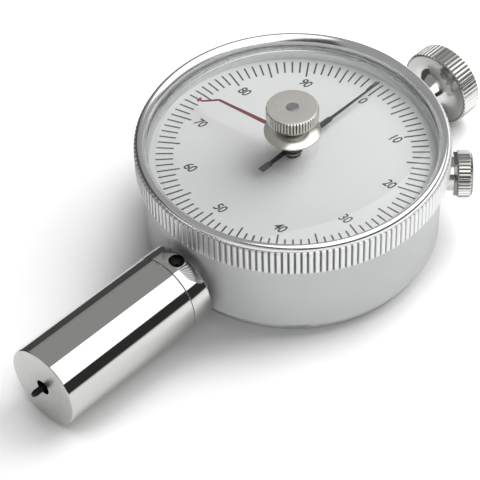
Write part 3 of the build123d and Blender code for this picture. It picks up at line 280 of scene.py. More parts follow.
def surfaced(tree, shader, base, roughness, height=None, depth=0.0):
    """Links a finish's colour and roughness, and a bump whose full height is depth millimetres."""
    tree.links.new(base, shader.inputs["Base Color"])
    tree.links.new(roughness, shader.inputs["Roughness"])
    if height is not None:
        bump = wire(tree, "ShaderNodeBump", {"Height": height, "Distance": depth * MM, "Strength": 1.0})
        tree.links.new(bump.outputs["Normal"], shader.inputs["Normal"])


def round_axis(tree, turn=UPRIGHT):
    """Distance along a turned piece's axis and distance from it, in metres."""
    back = turn.copy()
    back.translation *= MM
    back = back.inverted()
    settings = {"Vector": object_place(tree), "Location": back.translation, "Rotation": back.to_euler("XYZ")}
    local = wire(tree, "ShaderNodeMapping", settings).outputs[0]
    along = wire(tree, "ShaderNodeSeparateXYZ", {0: local}).outputs["Z"]
    flat = wire(tree, "ShaderNodeVectorMath", {0: local, 1: (1, 1, 0)}, operation="MULTIPLY").outputs[0]
    out = wire(tree, "ShaderNodeVectorMath", {0: flat}, operation="LENGTH").outputs["Value"]
    return along, out


def turning_lines(tree, place, spacing):
    """Tool marks that repeat irregularly along one coordinate."""
    steps = calculate(tree, "MULTIPLY", place, 1 / (spacing * MM))
    return wire(tree, "ShaderNodeTexNoise", {"W": steps, "Scale": 1.0, "Detail": 2.0},
                noise_dimensions="1D").outputs["Fac"]


def satin_enamel(name, base):
    tree, shader = new_finish(name, 0.35, 0.4, Specular_IOR_Level=0.45)
    surfaced(tree, shader, tinted(tree, grain(tree, 9.0), base, 0.98, 1.02),
             over_noise(tree, grain(tree, 1.4), 0.36, 0.44), grain(tree, 0.22, detail=3.0), 0.004)


def brushed_cover(name, base):
    tree, shader = new_finish(name, 1.0, 0.4)
    lines = grain(tree, 0.12, (60, 1, 60), 3.0)
    surfaced(tree, shader, tinted(tree, lines, base, 0.86, 1.0), over_noise(tree, lines, 0.34, 0.5),
             lines, 0.004)


def ribbed_aluminium(name, base):
    """Satin in the grooves and on the ribs, polished on the lip; the grooves are painted darker as shade."""
    tree, shader = new_finish(name, 1.0, 0.3)
    along, out = round_axis(tree)
    top, outside = BEZEL_HIGH.z, BEZEL_HIGH.x
    lip = over_reach(tree, along, top - 1.4, top - 1.0)
    crest = over_reach(tree, out, outside - 0.34, outside - 0.06)
    inside = over_reach(tree, out, outside - 1.4, outside - 1.1, 1.0, 0.0)
    unshaded_share = calculate(tree, "MAXIMUM", calculate(tree, "MAXIMUM", crest, lip), inside)
    # grooves painted darker than the rib crests and the lip: painted shade
    groove_shaded_colour = ramp(tree, unshaded_share, (0.0, shaded(base, 0.44)), (0.5, shaded(base, 0.74)), (0.85, base))
    fine = grain(tree, 0.25, detail=3.0)
    satin = over_noise(tree, fine, 0.32, 0.40)
    polished = over_noise(tree, fine, 0.14, 0.19)
    surfaced(tree, shader, groove_shaded_colour, blended(tree, lip, satin, polished),
             turning_lines(tree, along, 0.06), 0.0006)


def turned_chrome(name, base, turn, roughness=(0.03, 0.07)):
    """Bright plate over fine turning marks."""
    tree, shader = new_finish(name, 1.0, roughness[0])
    along, out = round_axis(tree, turn)
    cloud = grain(tree, 2.5, detail=3.0)
    surfaced(tree, shader, tinted(tree, cloud, base, 0.98, 1.02), over_noise(tree, cloud, *roughness),
             turning_lines(tree, calculate(tree, "ADD", along, out), 0.08), 0.0004)


def foot_chrome(name, base):
    """Bright sides and a satin faced end."""
    tree, shader = new_finish(name, 1.0, 0.05)
    along, out = round_axis(tree, TOWARDS_FOOT)
    end = -BARREL_LOW.y
    face = over_reach(tree, along, end - 0.12, end - 0.04)
    rings = turning_lines(tree, out, 0.10)
    side = over_noise(tree, grain(tree, 2.5, detail=3.0), 0.03, 0.06)
    satin = over_noise(tree, rings, 0.26, 0.36)
    surfaced(tree, shader, tinted(tree, rings, base, 0.97, 1.03), blended(tree, face, side, satin),
             calculate(tree, "MULTIPLY", rings, face), 0.007)


def knurled_chrome(name, base, turn, outside, satin_end=None):
    """Plate painted darker at the bottom of the grooves as shade, with a satin end face, painted lighter as
    a sheen, where one is given.
    """
    tree, shader = new_finish(name, 1.0, 0.12)
    along, out = round_axis(tree, turn)
    bottom = outside - KNURL_SHADE_DEPTH
    crest = over_reach(tree, out, bottom, outside - KNURL_SHADE_DEPTH * 0.2)
    inside = over_reach(tree, out, bottom - 0.5, bottom - 0.1, 1.0, 0.0)
    unshaded_share = calculate(tree, "MAXIMUM", crest, inside)
    # groove bottoms painted darker than the crests: painted shade
    plate_shade_and_sheen = ramp(tree, unshaded_share, (0.0, shaded(base, 0.40)), (0.7, base))
    cloud = grain(tree, 0.8, detail=3.0)
    rough = over_noise(tree, cloud, 0.10, 0.18)
    if satin_end is not None:
        face = over_reach(tree, along, satin_end - 0.16, satin_end - 0.06)
        satin = over_noise(tree, grain(tree, 0.3, detail=3.0), 0.40, 0.50)
        rough = blended(tree, face, rough, satin)
        # the end face takes the plate colour 1.45 times lighter: a painted sheen
        plate_shade_and_sheen = blended(tree, face, plate_shade_and_sheen, tinted(tree, cloud, shaded(base, 1.45), 0.96, 1.0))
    surfaced(tree, shader, plate_shade_and_sheen, rough,
             turning_lines(tree, calculate(tree, "ADD", along, out), 0.12), 0.001)


def silvered_dial(name, base):
    tree, shader = new_finish(name, 0.0, 0.5, Specular_IOR_Level=0.35)
    surfaced(tree, shader, tinted(tree, grain(tree, 0.16, detail=3.0), base, 0.965, 1.02),
             over_noise(tree, grain(tree, 0.5), 0.46, 0.58), grain(tree, 0.12, detail=3.0), 0.003)


def flat_paint(name, base, roughness, gloss):
    """Sprayed or printed colour with a slight mottle."""
    tree, shader = new_finish(name, 0.0, roughness, Specular_IOR_Level=gloss)
    surfaced(tree, shader, tinted(tree, grain(tree, 0.7, detail=3.0), base, 0.85, 1.15),
             over_noise(tree, grain(tree, 0.4), roughness * 0.9, roughness * 1.1), grain(tree, 0.1), 0.002)


def machined(name, base, roughness):
    """Worked metal with a fine uneven sheen."""
    tree, shader = new_finish(name, 1.0, roughness)
    fine = grain(tree, 0.3, detail=4.0)
    surfaced(tree, shader, tinted(tree, grain(tree, 1.8, detail=3.0), base, 0.92, 1.04),
             over_noise(tree, fine, roughness * 0.85, roughness * 1.2), fine, 0.002)


def clear_acrylic(name, base):
    """Clear window that lets the lamps light the dial under it."""
    tree, shader = new_finish(name, 0.0, 0.0, IOR=1.49, Transmission_Weight=1.0, Specular_IOR_Level=0.1)
    surfaced(tree, shader, tinted(tree, grain(tree, 20.0), base, 0.995, 1.0),
             over_noise(tree, grain(tree, 12.0), 0.004, 0.012))
    ray = wire(tree, "ShaderNodeLightPath").outputs
    through = wire(tree, "ShaderNodeBsdfTransparent", {"Color": (0.99, 0.995, 0.993, 1)}).outputs[0]
    bounced = {0: ray["Is Diffuse Ray"], 1: shader.outputs[0], 2: through}
    inner = wire(tree, "ShaderNodeMixShader", bounced).outputs[0]
    mixed = wire(tree, "ShaderNodeMixShader", {0: ray["Is Shadow Ray"], 1: inner, 2: through})
    tree.links.new(mixed.outputs[0], tree.nodes["Material Output"].inputs["Surface"])


# Each finish: what makes it, the colour setting that it starts from, and any further values.
# The names differ from those of the frame's own materials, which would be taken as they are.
FINISHES = {
    "satin_enamel": (satin_enamel, "enamel"),
    "brushed_cover": (brushed_cover, "aluminium"),
    "ribbed_aluminium": (ribbed_aluminium, "aluminium"),
    "foot_chrome": (foot_chrome, "chrome"),
    "collar_chrome": (turned_chrome, "chrome", TOWARDS_FOOT),
    "stem_steel": (turned_chrome, "steel", TOWARDS_FOOT, (0.12, 0.2)),
    "bush_nickel": (turned_chrome, "nickel", UPRIGHT, (0.20, 0.28)),
    "top_knob_chrome": (knurled_chrome, "chrome", TOWARDS_KNOB, KNOB_HIGH.x),
    "drag_knob_nickel": (knurled_chrome, "nickel", UPRIGHT, DRAG_KNOB_HIGH.x, DRAG_KNOB_HIGH.z),
    "clamp_chrome": (knurled_chrome, "chrome", TOWARDS_CLAMP, CLAMP_HIGH.z - CLAMP_HEIGHT),
    "silvered_dial": (silvered_dial, "dial"),
    "dial_ink": (flat_paint, "ink", 0.6, 0.3),
    "matt_black": (flat_paint, "pointer_black", 0.6, 0.2),
    "red_lacquer": (flat_paint, "pointer_red", 0.6, 0.2),
    "pressed_fibre": (flat_paint, "fibre", 0.8, 0.3),
    "turned_brass": (machined, "brass", 0.28),
    "ground_steel": (machined, "steel", 0.24),
    "blued_steel": (machined, "blued_spring", 0.22),
    "black_oxide": (machined, "oxide", 0.4),
    "ring_aluminium": (machined, "aluminium", 0.34),
    "clear_acrylic": (clear_acrylic, "crystal"),
}


def finish_named(name):
    """The material of that name, made on first use from the scene's colours."""
    if name not in bpy.data.materials:
        maker, setting, *values = FINISHES[name]
        maker(name, tuple(getattr(bpy.context.scene.hardness_finish, setting)), *values)
    return bpy.data.materials[name]


# ---- Outlines and meshes ----
def corner_arc(before, corner, after, radius):
    """Points that round one corner of an outline."""
    middle = Vector(corner[:2])
    back = Vector(before[:2]) - middle
    ahead = Vector(after[:2]) - middle
    opening = back.angle(ahead)
    if radius <= 0 or opening > STRAIGHT:
        return [tuple(middle)]
    reach = min(radius / tan(opening / 2), SIDE_SHARE * back.length, SIDE_SHARE * ahead.length)
    radius = reach * tan(opening / 2)
    centre = middle + (back.normalized() + ahead.normalized()).normalized() * (radius / sin(opening / 2))
    first = middle + back.normalized() * reach - centre
    last = middle + ahead.normalized() * reach - centre
    turn = first.angle_signed(last)
    steps = max(2, ceil(abs(turn) / ARC_STEP))
    return [tuple(centre + Matrix.Rotation(-turn * step / steps, 2) @ first) for step in range(steps + 1)]


def rounded(outline, closed):
    """Outline of (radius, height) or (radius, height, rounding) corners as a plain run of points."""
    count = len(outline)
    points = []
    for index, corner in enumerate(outline):
        rounding = corner[2] if len(corner) > 2 else 0
        if not closed and index in (0, count - 1):
            rounding = 0
        points += corner_arc(outline[index - 1], corner, outline[(index + 1) % count], rounding)
    return points


def arc_through(start, middle, end, steps):
    """Points of the arc from start through middle to end, ends included."""
    (ax, ay), (bx, by), (cx, cy) = start, middle, end
    twice = 2 * (ax * (by - cy) + bx * (cy - ay) + cx * (ay - by))
    a, b, c = ax * ax + ay * ay, bx * bx + by * by, cx * cx + cy * cy
    x = (a * (by - cy) + b * (cy - ay) + c * (ay - by)) / twice
    y = (a * (cx - bx) + b * (ax - cx) + c * (bx - ax)) / twice
    radius = hypot(ax - x, ay - y)
    first = atan2(ay - y, ax - x)
    last = atan2(cy - y, cx - x)
    sweep = (last - first + pi) % (2 * pi) - pi
    points = []
    for step in range(steps + 1):
        angle = first + sweep * step / steps
        points.append((x + radius * cos(angle), y + radius * sin(angle)))
    return points


def carried_round(profile, columns, whole):
    """Vertices and faces of a profile carried round Z through columns of (angle, greatest radius)."""
    on_axis = [radius < ON_AXIS for radius, _ in profile]
    ring = not (on_axis[0] and on_axis[-1])
    vertices = []
    rows = []
    for (radius, height), at_axis in zip(profile, on_axis):
        if at_axis:
            rows.append([len(vertices)] * len(columns))
            vertices.append((0, 0, height))
            continue
        rows.append(list(range(len(vertices), len(vertices) + len(columns))))
        for angle, limit in columns:
            here = min(radius, limit)
            vertices.append((here * cos(angle), here * sin(angle), height))
    faces = []
    steps = len(columns) if whole else len(columns) - 1
    for low, high in zip(rows, rows[1:] + rows[:1] if ring else rows[1:]):
        for step in range(steps):
            after = (step + 1) % len(columns)
            corners = []
            for vertex in (low[step], low[after], high[after], high[step]):
                if vertex not in corners:
                    corners.append(vertex)
            if len(corners) > 2:
                faces.append(corners)
    return vertices, faces


def full_circle(steps):
    """Columns of a piece that is plainly turned."""
    return [(2 * pi * step / steps, NO_LIMIT) for step in range(steps)]


def tidy_mesh(mesh):
    """Merges doubles, turns the faces outwards and shades the piece with crisp edges."""
    work = bmesh.new()
    work.from_mesh(mesh)
    bmesh.ops.remove_doubles(work, verts=work.verts, dist=MERGE)
    bmesh.ops.recalc_face_normals(work, faces=work.faces)
    work.to_mesh(mesh)
    work.free()
    mesh.shade_smooth()
    mesh.set_sharp_from_angle(angle=CREASE)


def linked(name, data):
    """Object of the scene for a mesh, a text, a lamp or a camera."""
    holder = bpy.data.objects.new(name, data)
    bpy.context.scene.collection.objects.link(holder)
    return holder


def plain_mesh(name, vertices, faces):
    mesh = bpy.data.meshes.new(name)
    mesh.from_pydata(vertices, [], faces)
    return mesh


def new_piece(name, vertices, faces, place=UPRIGHT):
    """Object at the origin whose mesh is built in millimetres and then put in place."""
    mesh = plain_mesh(name, vertices, faces)
    mesh.transform(Matrix.Scale(MM, 4) @ place)
    tidy_mesh(mesh)
    return linked(name, mesh)


def turned(name, outline, place=UPRIGHT, steps=128):
    """Piece turned about Z from an outline with rounded corners, laid at its place."""
    closed = outline[0][0] > ON_AXIS or outline[-1][0] > ON_AXIS
    return new_piece(name, *carried_round(rounded(outline, closed), full_circle(steps), True), place)


def tube(name, bore, radius, low, high, edges, place=UPRIGHT, steps=64):
    """Plain ring or bush. Its edges are rounded in turn: low inner, low outer, high outer, high inner."""
    corners = (bore, low), (radius, low), (radius, high), (bore, high)
    return turned(name, [(*corner, edge) for corner, edge in zip(corners, edges)], place, steps)


def evaluated_mesh(piece):
    """The mesh that an object's modifiers or its text come to."""
    graph = bpy.context.evaluated_depsgraph_get()
    return bpy.data.meshes.new_from_object(piece.evaluated_get(graph), depsgraph=graph)


def baked(piece):
    """Applies a piece's modifiers to its mesh."""
    mesh = evaluated_mesh(piece)
    piece.modifiers.clear()
    piece.data = mesh
    return piece


def combined(piece, operation, *others):
    """Cuts the others out of a piece or joins them to it as one closed mesh, and removes them."""
    for other in others:
        boolean = piece.modifiers.new("combine", "BOOLEAN")
        boolean.operation = operation
        boolean.solver = "EXACT"
        boolean.object = other
    baked(piece)
    for other in others:
        bpy.data.objects.remove(other)
    tidy_mesh(piece.data)
    return piece


def block(name, low, high):
    corners = [(x, y, z) for x in (low[0], high[0]) for y in (low[1], high[1]) for z in (low[2], high[2])]
    faces = [(0, 1, 3, 2), (4, 6, 7, 5), (0, 4, 5, 1), (2, 3, 7, 6), (0, 2, 6, 4), (1, 5, 7, 3)]
    return new_piece(name, corners, faces)


def flat_arm(name, stations, thick, place):
    """Strip cut from sheet, through stations of (distance, height of its underside, half width)."""
    vertices = []
    for x, z, half in stations:
        vertices += [(x, -half, z), (x, half, z), (x, half, z + thick), (x, -half, z + thick)]
    faces = [(0, 1, 2, 3), tuple(4 * len(stations) - corner for corner in (1, 2, 3, 4))]
    for first in range(0, 4 * len(stations) - 4, 4):
        for side in range(4):
            after = (side + 1) % 4
            faces.append((first + side, first + 4 + side, first + 4 + after, first + after))
    return new_piece(name, vertices, faces, place)


def smooth_copy(node, bevel=0.0):
    """Merged and smoothly shaded copy of a CAD node, with its edges broken by bevel millimetres."""
    piece = linked(node + "_smooth", frame["nodes"][node].data.copy())
    piece.data.materials.clear()
    work = bmesh.new()
    work.from_mesh(piece.data)
    bmesh.ops.remove_doubles(work, verts=work.verts, dist=MERGE)
    if bevel:
        bmesh.ops.dissolve_limit(work, angle_limit=radians(1), verts=work.verts, edges=work.edges)
    work.to_mesh(piece.data)
    work.free()
    if bevel:
        rounding = piece.modifiers.new("edges", "BEVEL")
        rounding.width = bevel * MM
        rounding.segments = 2
        rounding.limit_method = "ANGLE"
        rounding.angle_limit = radians(40)
        baked(piece)
    piece.data.shade_smooth()
    piece.data.set_sharp_from_angle(angle=CREASE)
    return piece


def placed(piece, material, body, slot, *nodes):
    """Gives a piece its finish, lets it ride on its body and stand for its CAD nodes."""
    piece.data.materials.clear()
    piece.data.materials.append(finish_named(material))
    for face in piece.data.polygons:
        face.material_index = 0
    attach(piece, body)
    if nodes:
        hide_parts(*nodes)
    return piece


# ---- Geometry node trees ----
REPEAT_NAME = "Repeat round the axis"


def new_tree(name, **inputs):
    """Geometry node tree that takes geometry, a material and inputs of a kind and a default."""
    tree = bpy.data.node_groups.new(name, "GeometryNodeTree")
    tree.interface.new_socket(name="Geometry", in_out="INPUT", socket_type="NodeSocketGeometry")
    for key, (kind, default) in inputs.items():
        socket = tree.interface.new_socket(
            name=key.replace("_", " "), in_out="INPUT", socket_type="NodeSocket" + kind)
        socket.default_value = default
    tree.interface.new_socket(name="Material", in_out="INPUT", socket_type="NodeSocketMaterial")
    tree.interface.new_socket(name="Geometry", in_out="OUTPUT", socket_type="NodeSocketGeometry")
    return tree, tree.nodes.new("NodeGroupInput").outputs


def even_turn(tree, number, first):
    """Index and angle of each copy when so many of them stand evenly round a circle."""
    index = wire(tree, "GeometryNodeInputIndex").outputs[0]
    return index, calculate(tree, "MULTIPLY_ADD", index, calculate(tree, "DIVIDE", 2 * pi, number), first)


def copied_to(tree, given, points, turn, **places):
    """Ends a tree with a copy of its geometry at each point, turned about Z and given its material."""
    spin = wire(tree, "FunctionNodeAxisAngleToRotation", {"Axis": (0, 0, 1), "Angle": turn})
    places.update(Points=points.outputs[0], Instance=given["Geometry"], Rotation=spin.outputs[0])
    copies = wire(tree, "GeometryNodeInstanceOnPoints", places)
    real = wire(tree, "GeometryNodeRealizeInstances", {0: copies.outputs[0]})
    finish = {"Geometry": real.outputs[0], "Material": given["Material"]}
    done = wire(tree, "GeometryNodeSetMaterial", finish)
    tree.links.new(done.outputs[0], tree.nodes.new("NodeGroupOutput").inputs[0])
    return tree


def repeat_tree():
    """Tree that repeats its geometry evenly round Z: ribs and screws."""
    tree, given = new_tree(REPEAT_NAME, Count=("Int", 8), First_Angle=("Float", 0.0))
    _, turn = even_turn(tree, given["Count"], given["First Angle"])
    points = wire(tree, "GeometryNodePoints", {"Count": given["Count"]})
    return copied_to(tree, given, points, turn)


def scale_tree():
    """Tree that lays out a dial's marks: one unit mark repeated on a circle, every few of them long."""
    tree, given = new_tree(
        "Dial marks", Divisions=("Int", 100), Long_Every=("Int", 5), End_Radius=("Float", 0.026),
        Long_Length=("Float", 0.0044), Short_Length=("Float", 0.0034))
    index, turn = even_turn(tree, given["Divisions"], pi / 2)
    left_over = calculate(tree, "MODULO", index, given["Long Every"])
    is_long = calculate(tree, "LESS_THAN", left_over, 0.5)
    extra = calculate(tree, "SUBTRACT", given["Long Length"], given["Short Length"])
    reach = calculate(tree, "MULTIPLY_ADD", is_long, extra, given["Short Length"])
    place = wire(tree, "ShaderNodeCombineXYZ", {
        0: calculate(tree, "MULTIPLY", calculate(tree, "COSINE", turn), given["End Radius"]),
        1: calculate(tree, "MULTIPLY", calculate(tree, "SINE", turn), given["End Radius"])})
    points = wire(tree, "GeometryNodePoints", {"Count": given["Divisions"]})
    on_circle = {"Geometry": points.outputs[0], "Position": place.outputs[0]}
    size = wire(tree, "ShaderNodeCombineXYZ", {0: reach, 1: 1.0, 2: 1.0})
    moved = wire(tree, "GeometryNodeSetPosition", on_circle)
    return copied_to(tree, given, moved, turn, Scale=size.outputs[0])


def grown(piece, tree, **values):
    """Runs a piece through a tree, with its inputs set by name, and keeps the result as a plain mesh."""
    modifier = piece.modifiers.new("grow", "NODES")
    modifier.node_group = tree
    for item in tree.interface.items_tree:
        if item.in_out == "INPUT" and item.name in values:
            modifier[item.identifier] = values[item.name]
    return baked(piece)


def repeated(piece, number, material, first_angle=0.0):
    """Repeats a piece evenly round Z, as one plain mesh with its finish."""
    tree = bpy.data.node_groups.get(REPEAT_NAME) or repeat_tree()
    values = {"Count": number, "First Angle": first_angle, "Material": finish_named(material)}
    return grown(piece, tree, **values)


def ribbed(name, profile, settings, ribs, material, place=UPRIGHT):
    """Turned piece with straight grooves cut round its outside: one rib's width, repeated by the tree."""
    outside = max(radius for radius, _ in profile)
    depth = settings.rib_depth / MM
    half = settings.groove_share / 2
    rest_of_rib = 0.5 - half
    shares = (0, half * 0.45, half * 0.94, half * 1.12, half + rest_of_rib * 0.45, 0.5)
    shares += tuple(1 - share for share in shares[-2::-1])
    columns = []
    for share in shares:
        from_groove = min(share, 1 - share)
        groove = min(1.0, max(0.0, GROOVE_WALL * (1 - from_groove / half)))
        across = min(1.0, max(0.0, (from_groove - half) / rest_of_rib))
        fall = depth * max(groove, RIB_CROWN * (1 - across))
        columns.append(((share - 0.5) * 2 * pi / ribs, outside - fall))
    mesh = plain_mesh(name, *carried_round(profile, columns, False))
    mesh.transform(Matrix.Scale(MM, 4))
    piece = repeated(linked(name, mesh), ribs, material)
    piece.data.transform(Matrix.Scale(MM, 4) @ place @ Matrix.Scale(1 / MM, 4))
    tidy_mesh(piece.data)
    return piece


# ---- Operators, one for each piece or group of like pieces ----
class HARDNESS_OT_case(bpy.types.Operator):
    """Case shell with its enamel, smoothed from the frame"""
    bl_idname = "hardness_tester.case"
    bl_label = "Case"

    def execute(self, context):
        placed(smooth_copy("case_body"), "satin_enamel", "case", "case_paint", "case_body")
        return {"FINISHED"}


class HARDNESS_OT_back(bpy.types.Operator):
    """Back cover and its four countersunk screws"""
    bl_idname = "hardness_tester.back"
    bl_label = "Back cover"

    def execute(self, context):
        placed(smooth_copy("back_cover"), "brushed_cover", "case", "cover_aluminium", "back_cover")
        head, shank, slot, clear = 1.65, 0.9, 0.45, 2    # the slot's cutter reaches clear of the head
        sunk = SCREW_LOW.z
        screw = turned("cover_screw_set", [
            (0, sunk), (head, sunk, 0.06), (shank, sunk + head - shank), (shank, SCREW_HIGH.z, 0.15),
            (0, SCREW_HIGH.z)], steps=48)
        combined(screw, "DIFFERENCE", block("slot", (-clear, -slot / 2, -1), (clear, slot / 2, sunk + slot)))
        circle = (SCREW_HIGH.x - head) * 2 ** 0.5
        screw.data.transform(Matrix.Translation((circle * MM, 0, 0)))
        repeated(screw, 4, "ground_steel", pi / 4)
        tidy_mesh(screw.data)
        placed(screw, "ground_steel", "case", "steel", "cover_screws")
        return {"FINISHED"}


class HARDNESS_OT_foot(bpy.types.Operator):
    """Stem, locking collar with its set screw, and the round foot barrel"""
    bl_idname = "hardness_tester.foot"
    bl_label = "Foot"

    def execute(self, context):
        radius, stem_radius = BARREL_HIGH.x, STEM_HIGH.x
        stem_bore, bore = 3.2, stem_radius + 0.02
        stem = tube("stem", stem_bore, stem_radius, -STEM_HIGH.y, -STEM_LOW.y, (0, 0.1, 0.1, 0),
                    TOWARDS_FOOT, 96)
        placed(stem, "stem_steel", "case", "steel", "stem_tube")

        start, end = -COLLAR_HIGH.y, -COLLAR_LOW.y
        chamfer, from_end, hole_radius = 0.6, 2.2, 1.5
        collar = turned("collar", [
            (bore, start, 0.1), (radius - chamfer, start, 0.12), (radius, start + chamfer, 0.15),
            (radius, end, 0.12), (bore, end)], TOWARDS_FOOT, 192)
        lean = Matrix.Rotation(radians(7), 4, "Y")
        hole = turned("hole", [(0, 1), (hole_radius, 1), (hole_radius, radius + 2), (0, radius + 2)],
                      Matrix.Translation((0, -start - from_end, AXIS_HEIGHT)) @ lean, 48)
        combined(collar, "DIFFERENCE", hole)
        placed(collar, "collar_chrome", "case", "chrome", "locking_collar")
        placed(smooth_copy("collar_set_screw"), "black_oxide", "case", "steel", "collar_set_screw")

        start, end = -BARREL_HIGH.y, -BARREL_LOW.y
        mouth, wall = 1.5, end - 3.2
        barrel = turned("foot", [
            (bore, start), (radius, start, 0.12), (radius, end, 0.36), (mouth, end, 0.12), (mouth, wall),
            (bore, wall)], TOWARDS_FOOT, 192)
        placed(barrel, "foot_chrome", "case", "chrome", "foot_barrel")
        return {"FINISHED"}


class HARDNESS_OT_indenter(bpy.types.Operator):
    """Indenter pin with its cone and flat tip"""
    bl_idname = "hardness_tester.indenter"
    bl_label = "Indenter"

    def execute(self, context):
        shank, tip, half_angle = INDENTER_HIGH.x, 0.395, radians(17.5)
        start, end = -INDENTER_HIGH.y, -INDENTER_LOW.y
        cone = (shank - tip) / tan(half_angle)
        needle = turned("indenter_pin", [
            (0, start), (shank, start, 0.05), (shank, end - cone, 0.1), (tip, end, 0.03), (0, end)],
            TOWARDS_FOOT, 48)
        # the indenter takes the black finish as a painted dark reflection of its steel
        placed(needle, "black_oxide", "plunger", "steel", "indenter")
        return {"FINISHED"}


class HARDNESS_OT_bezel(bpy.types.Operator):
    """Turning bezel: a ribbed band under a polished lip"""
    bl_idname = "hardness_tester.bezel"
    bl_label = "Bezel"

    def execute(self, context):
        settings = context.scene.hardness_bezel
        outside, bottom, top = 30.0, BEZEL_LOW.z, BEZEL_HIGH.z
        bore, edge, ledge = 28.4, 27.66, 23.0    # the ledge is what holds the crystal down
        lip, chamfer = 1.1, 0.3
        band_top, shoulder, crest = top - lip, outside - 0.37, outside - 1.3
        outline = [
            (edge, ledge, 0.04), (bore, ledge), (bore, bottom, 0.1), (outside - chamfer, bottom, 0.08),
            (outside, bottom + chamfer, 0.12), (outside, band_top - 0.35, 0.2)]
        profile = rounded([(edge + 0.1, ledge + 0.2), *outline, (shoulder, band_top + 0.02)], False)[1:-1]
        for share in (0, 0.25, 0.5, 0.75, 1):
            profile.append((outside - 0.08 - share * 0.27, band_top - 0.27 + share * 0.24))
        middle = (crest + 0.75 * (shoulder - crest), band_top + 0.62 * lip)
        profile += arc_through((shoulder, band_top), middle, (crest, top), 8)
        profile += [(crest - 0.07, top - 0.02), (crest - 0.14, top - 0.07), (edge + 0.06, top - 1.02),
                    (edge, top - 1.12), (edge, ledge + 0.2)]
        ring = ribbed("bezel_ring", profile, settings, settings.ribs, "ribbed_aluminium")
        placed(ring, "ribbed_aluminium", "bezel_group", "bezel_aluminium", "bezel")
        return {"FINISHED"}


class HARDNESS_OT_crystal(bpy.types.Operator):
    """Clear window with a rolled edge, and the spacer ring under it"""
    bl_idname = "hardness_tester.crystal"
    bl_label = "Crystal"

    def execute(self, context):
        crown, bottom, radius = CRYSTAL_HIGH.z, CRYSTAL_LOW.z, CRYSTAL_HIGH.x
        rim, ledge, under = SPACER_HIGH.x - 1.18, bottom + 0.98, crown - 0.9
        hole, flat, dome = 2.2, 19.5, 27.5    # radii of the hole, of the flat middle and of the dome
        profile = rounded([(rim, bottom), (radius, bottom, 0.1), (radius, ledge, 0.15), (dome, ledge)], True)
        profile += arc_through((dome, ledge), (23.5, crown - 0.62), (flat, crown), 16)[1:]
        profile += [(flat - 0.6, crown), (hole, crown), (hole, under), (flat - 0.6, under)]
        profile += arc_through((flat, under), (23.35, under - 0.576), (rim, bottom), 16)[:-1]
        window = new_piece("window", *carried_round(profile, full_circle(192), True))
        placed(window, "clear_acrylic", "bezel_group", "crystal", "crystal")

        ring = tube("dial_spacer", rim, SPACER_HIGH.x, SPACER_LOW.z, SPACER_HIGH.z, (0, 0, 0.1, 0.15),
                    steps=192)
        placed(ring, "ring_aluminium", "bezel_group", "cover_aluminium", "spacer_ring")
        return {"FINISHED"}


class HARDNESS_OT_dial(bpy.types.Operator):
    """Dial plate with its printed marks and numerals"""
    bl_idname = "hardness_tester.dial"
    bl_label = "Dial"

    def execute(self, context):
        settings = context.scene.hardness_dial
        face, hole = DIAL_HIGH.z, 1.6
        plate = tube("dial", hole, DIAL_HIGH.x, DIAL_LOW.z, face, (0, 0, 0.05, 0.05), steps=192)
        placed(plate, "silvered_dial", "bezel_group", "dial_face", "dial_plate")

        thick = settings.print_height / MM
        half = settings.mark_width / MM / 2
        low = face + 0.004    # the ink stands just clear of the dial
        mark = block("dial_marks", (-1 / MM, -half, low), (0, half, low + thick))
        values = {"Divisions": settings.divisions, "Long Every": settings.long_every,
                  "End Radius": settings.mark_end, "Long Length": settings.long_mark,
                  "Short Length": settings.short_mark, "Material": finish_named("dial_ink")}
        grown(mark, scale_tree(), **values)
        placed(mark, "dial_ink", "bezel_group", "dial_face")

        slant, spacing, weight, narrow = 0.22, 0.95, 0.016, 0.78
        numerals_round = 10
        whole = bmesh.new()
        for step in range(numerals_round):
            text = bpy.data.curves.new("numeral", "FONT")
            text.body = str(step * 10)
            text.size = settings.numeral_size
            text.align_x = "CENTER"
            text.align_y = "CENTER"
            text.shear = slant
            text.space_character = spacing
            text.offset = weight * settings.numeral_size
            text.extrude = thick * MM / 2
            text.resolution_u = 6
            holder = linked("numeral", text)
            mesh = evaluated_mesh(holder)
            bpy.data.objects.remove(holder)
            bearing = pi / 2 - 2 * pi * step / numerals_round
            radius = settings.numeral_radius
            middle = (radius * cos(bearing), radius * sin(bearing), (low + thick / 2) * MM)
            mesh.transform(Matrix.Translation(middle) @ Matrix.Diagonal((narrow, 1.0, 1.0, 1.0)))
            whole.from_mesh(mesh)
        numerals = linked("dial_numerals", bpy.data.meshes.new("dial_numerals"))
        whole.to_mesh(numerals.data)
        whole.free()
        tidy_mesh(numerals.data)
        placed(numerals, "dial_ink", "bezel_group", "dial_face")
        return {"FINISHED"}


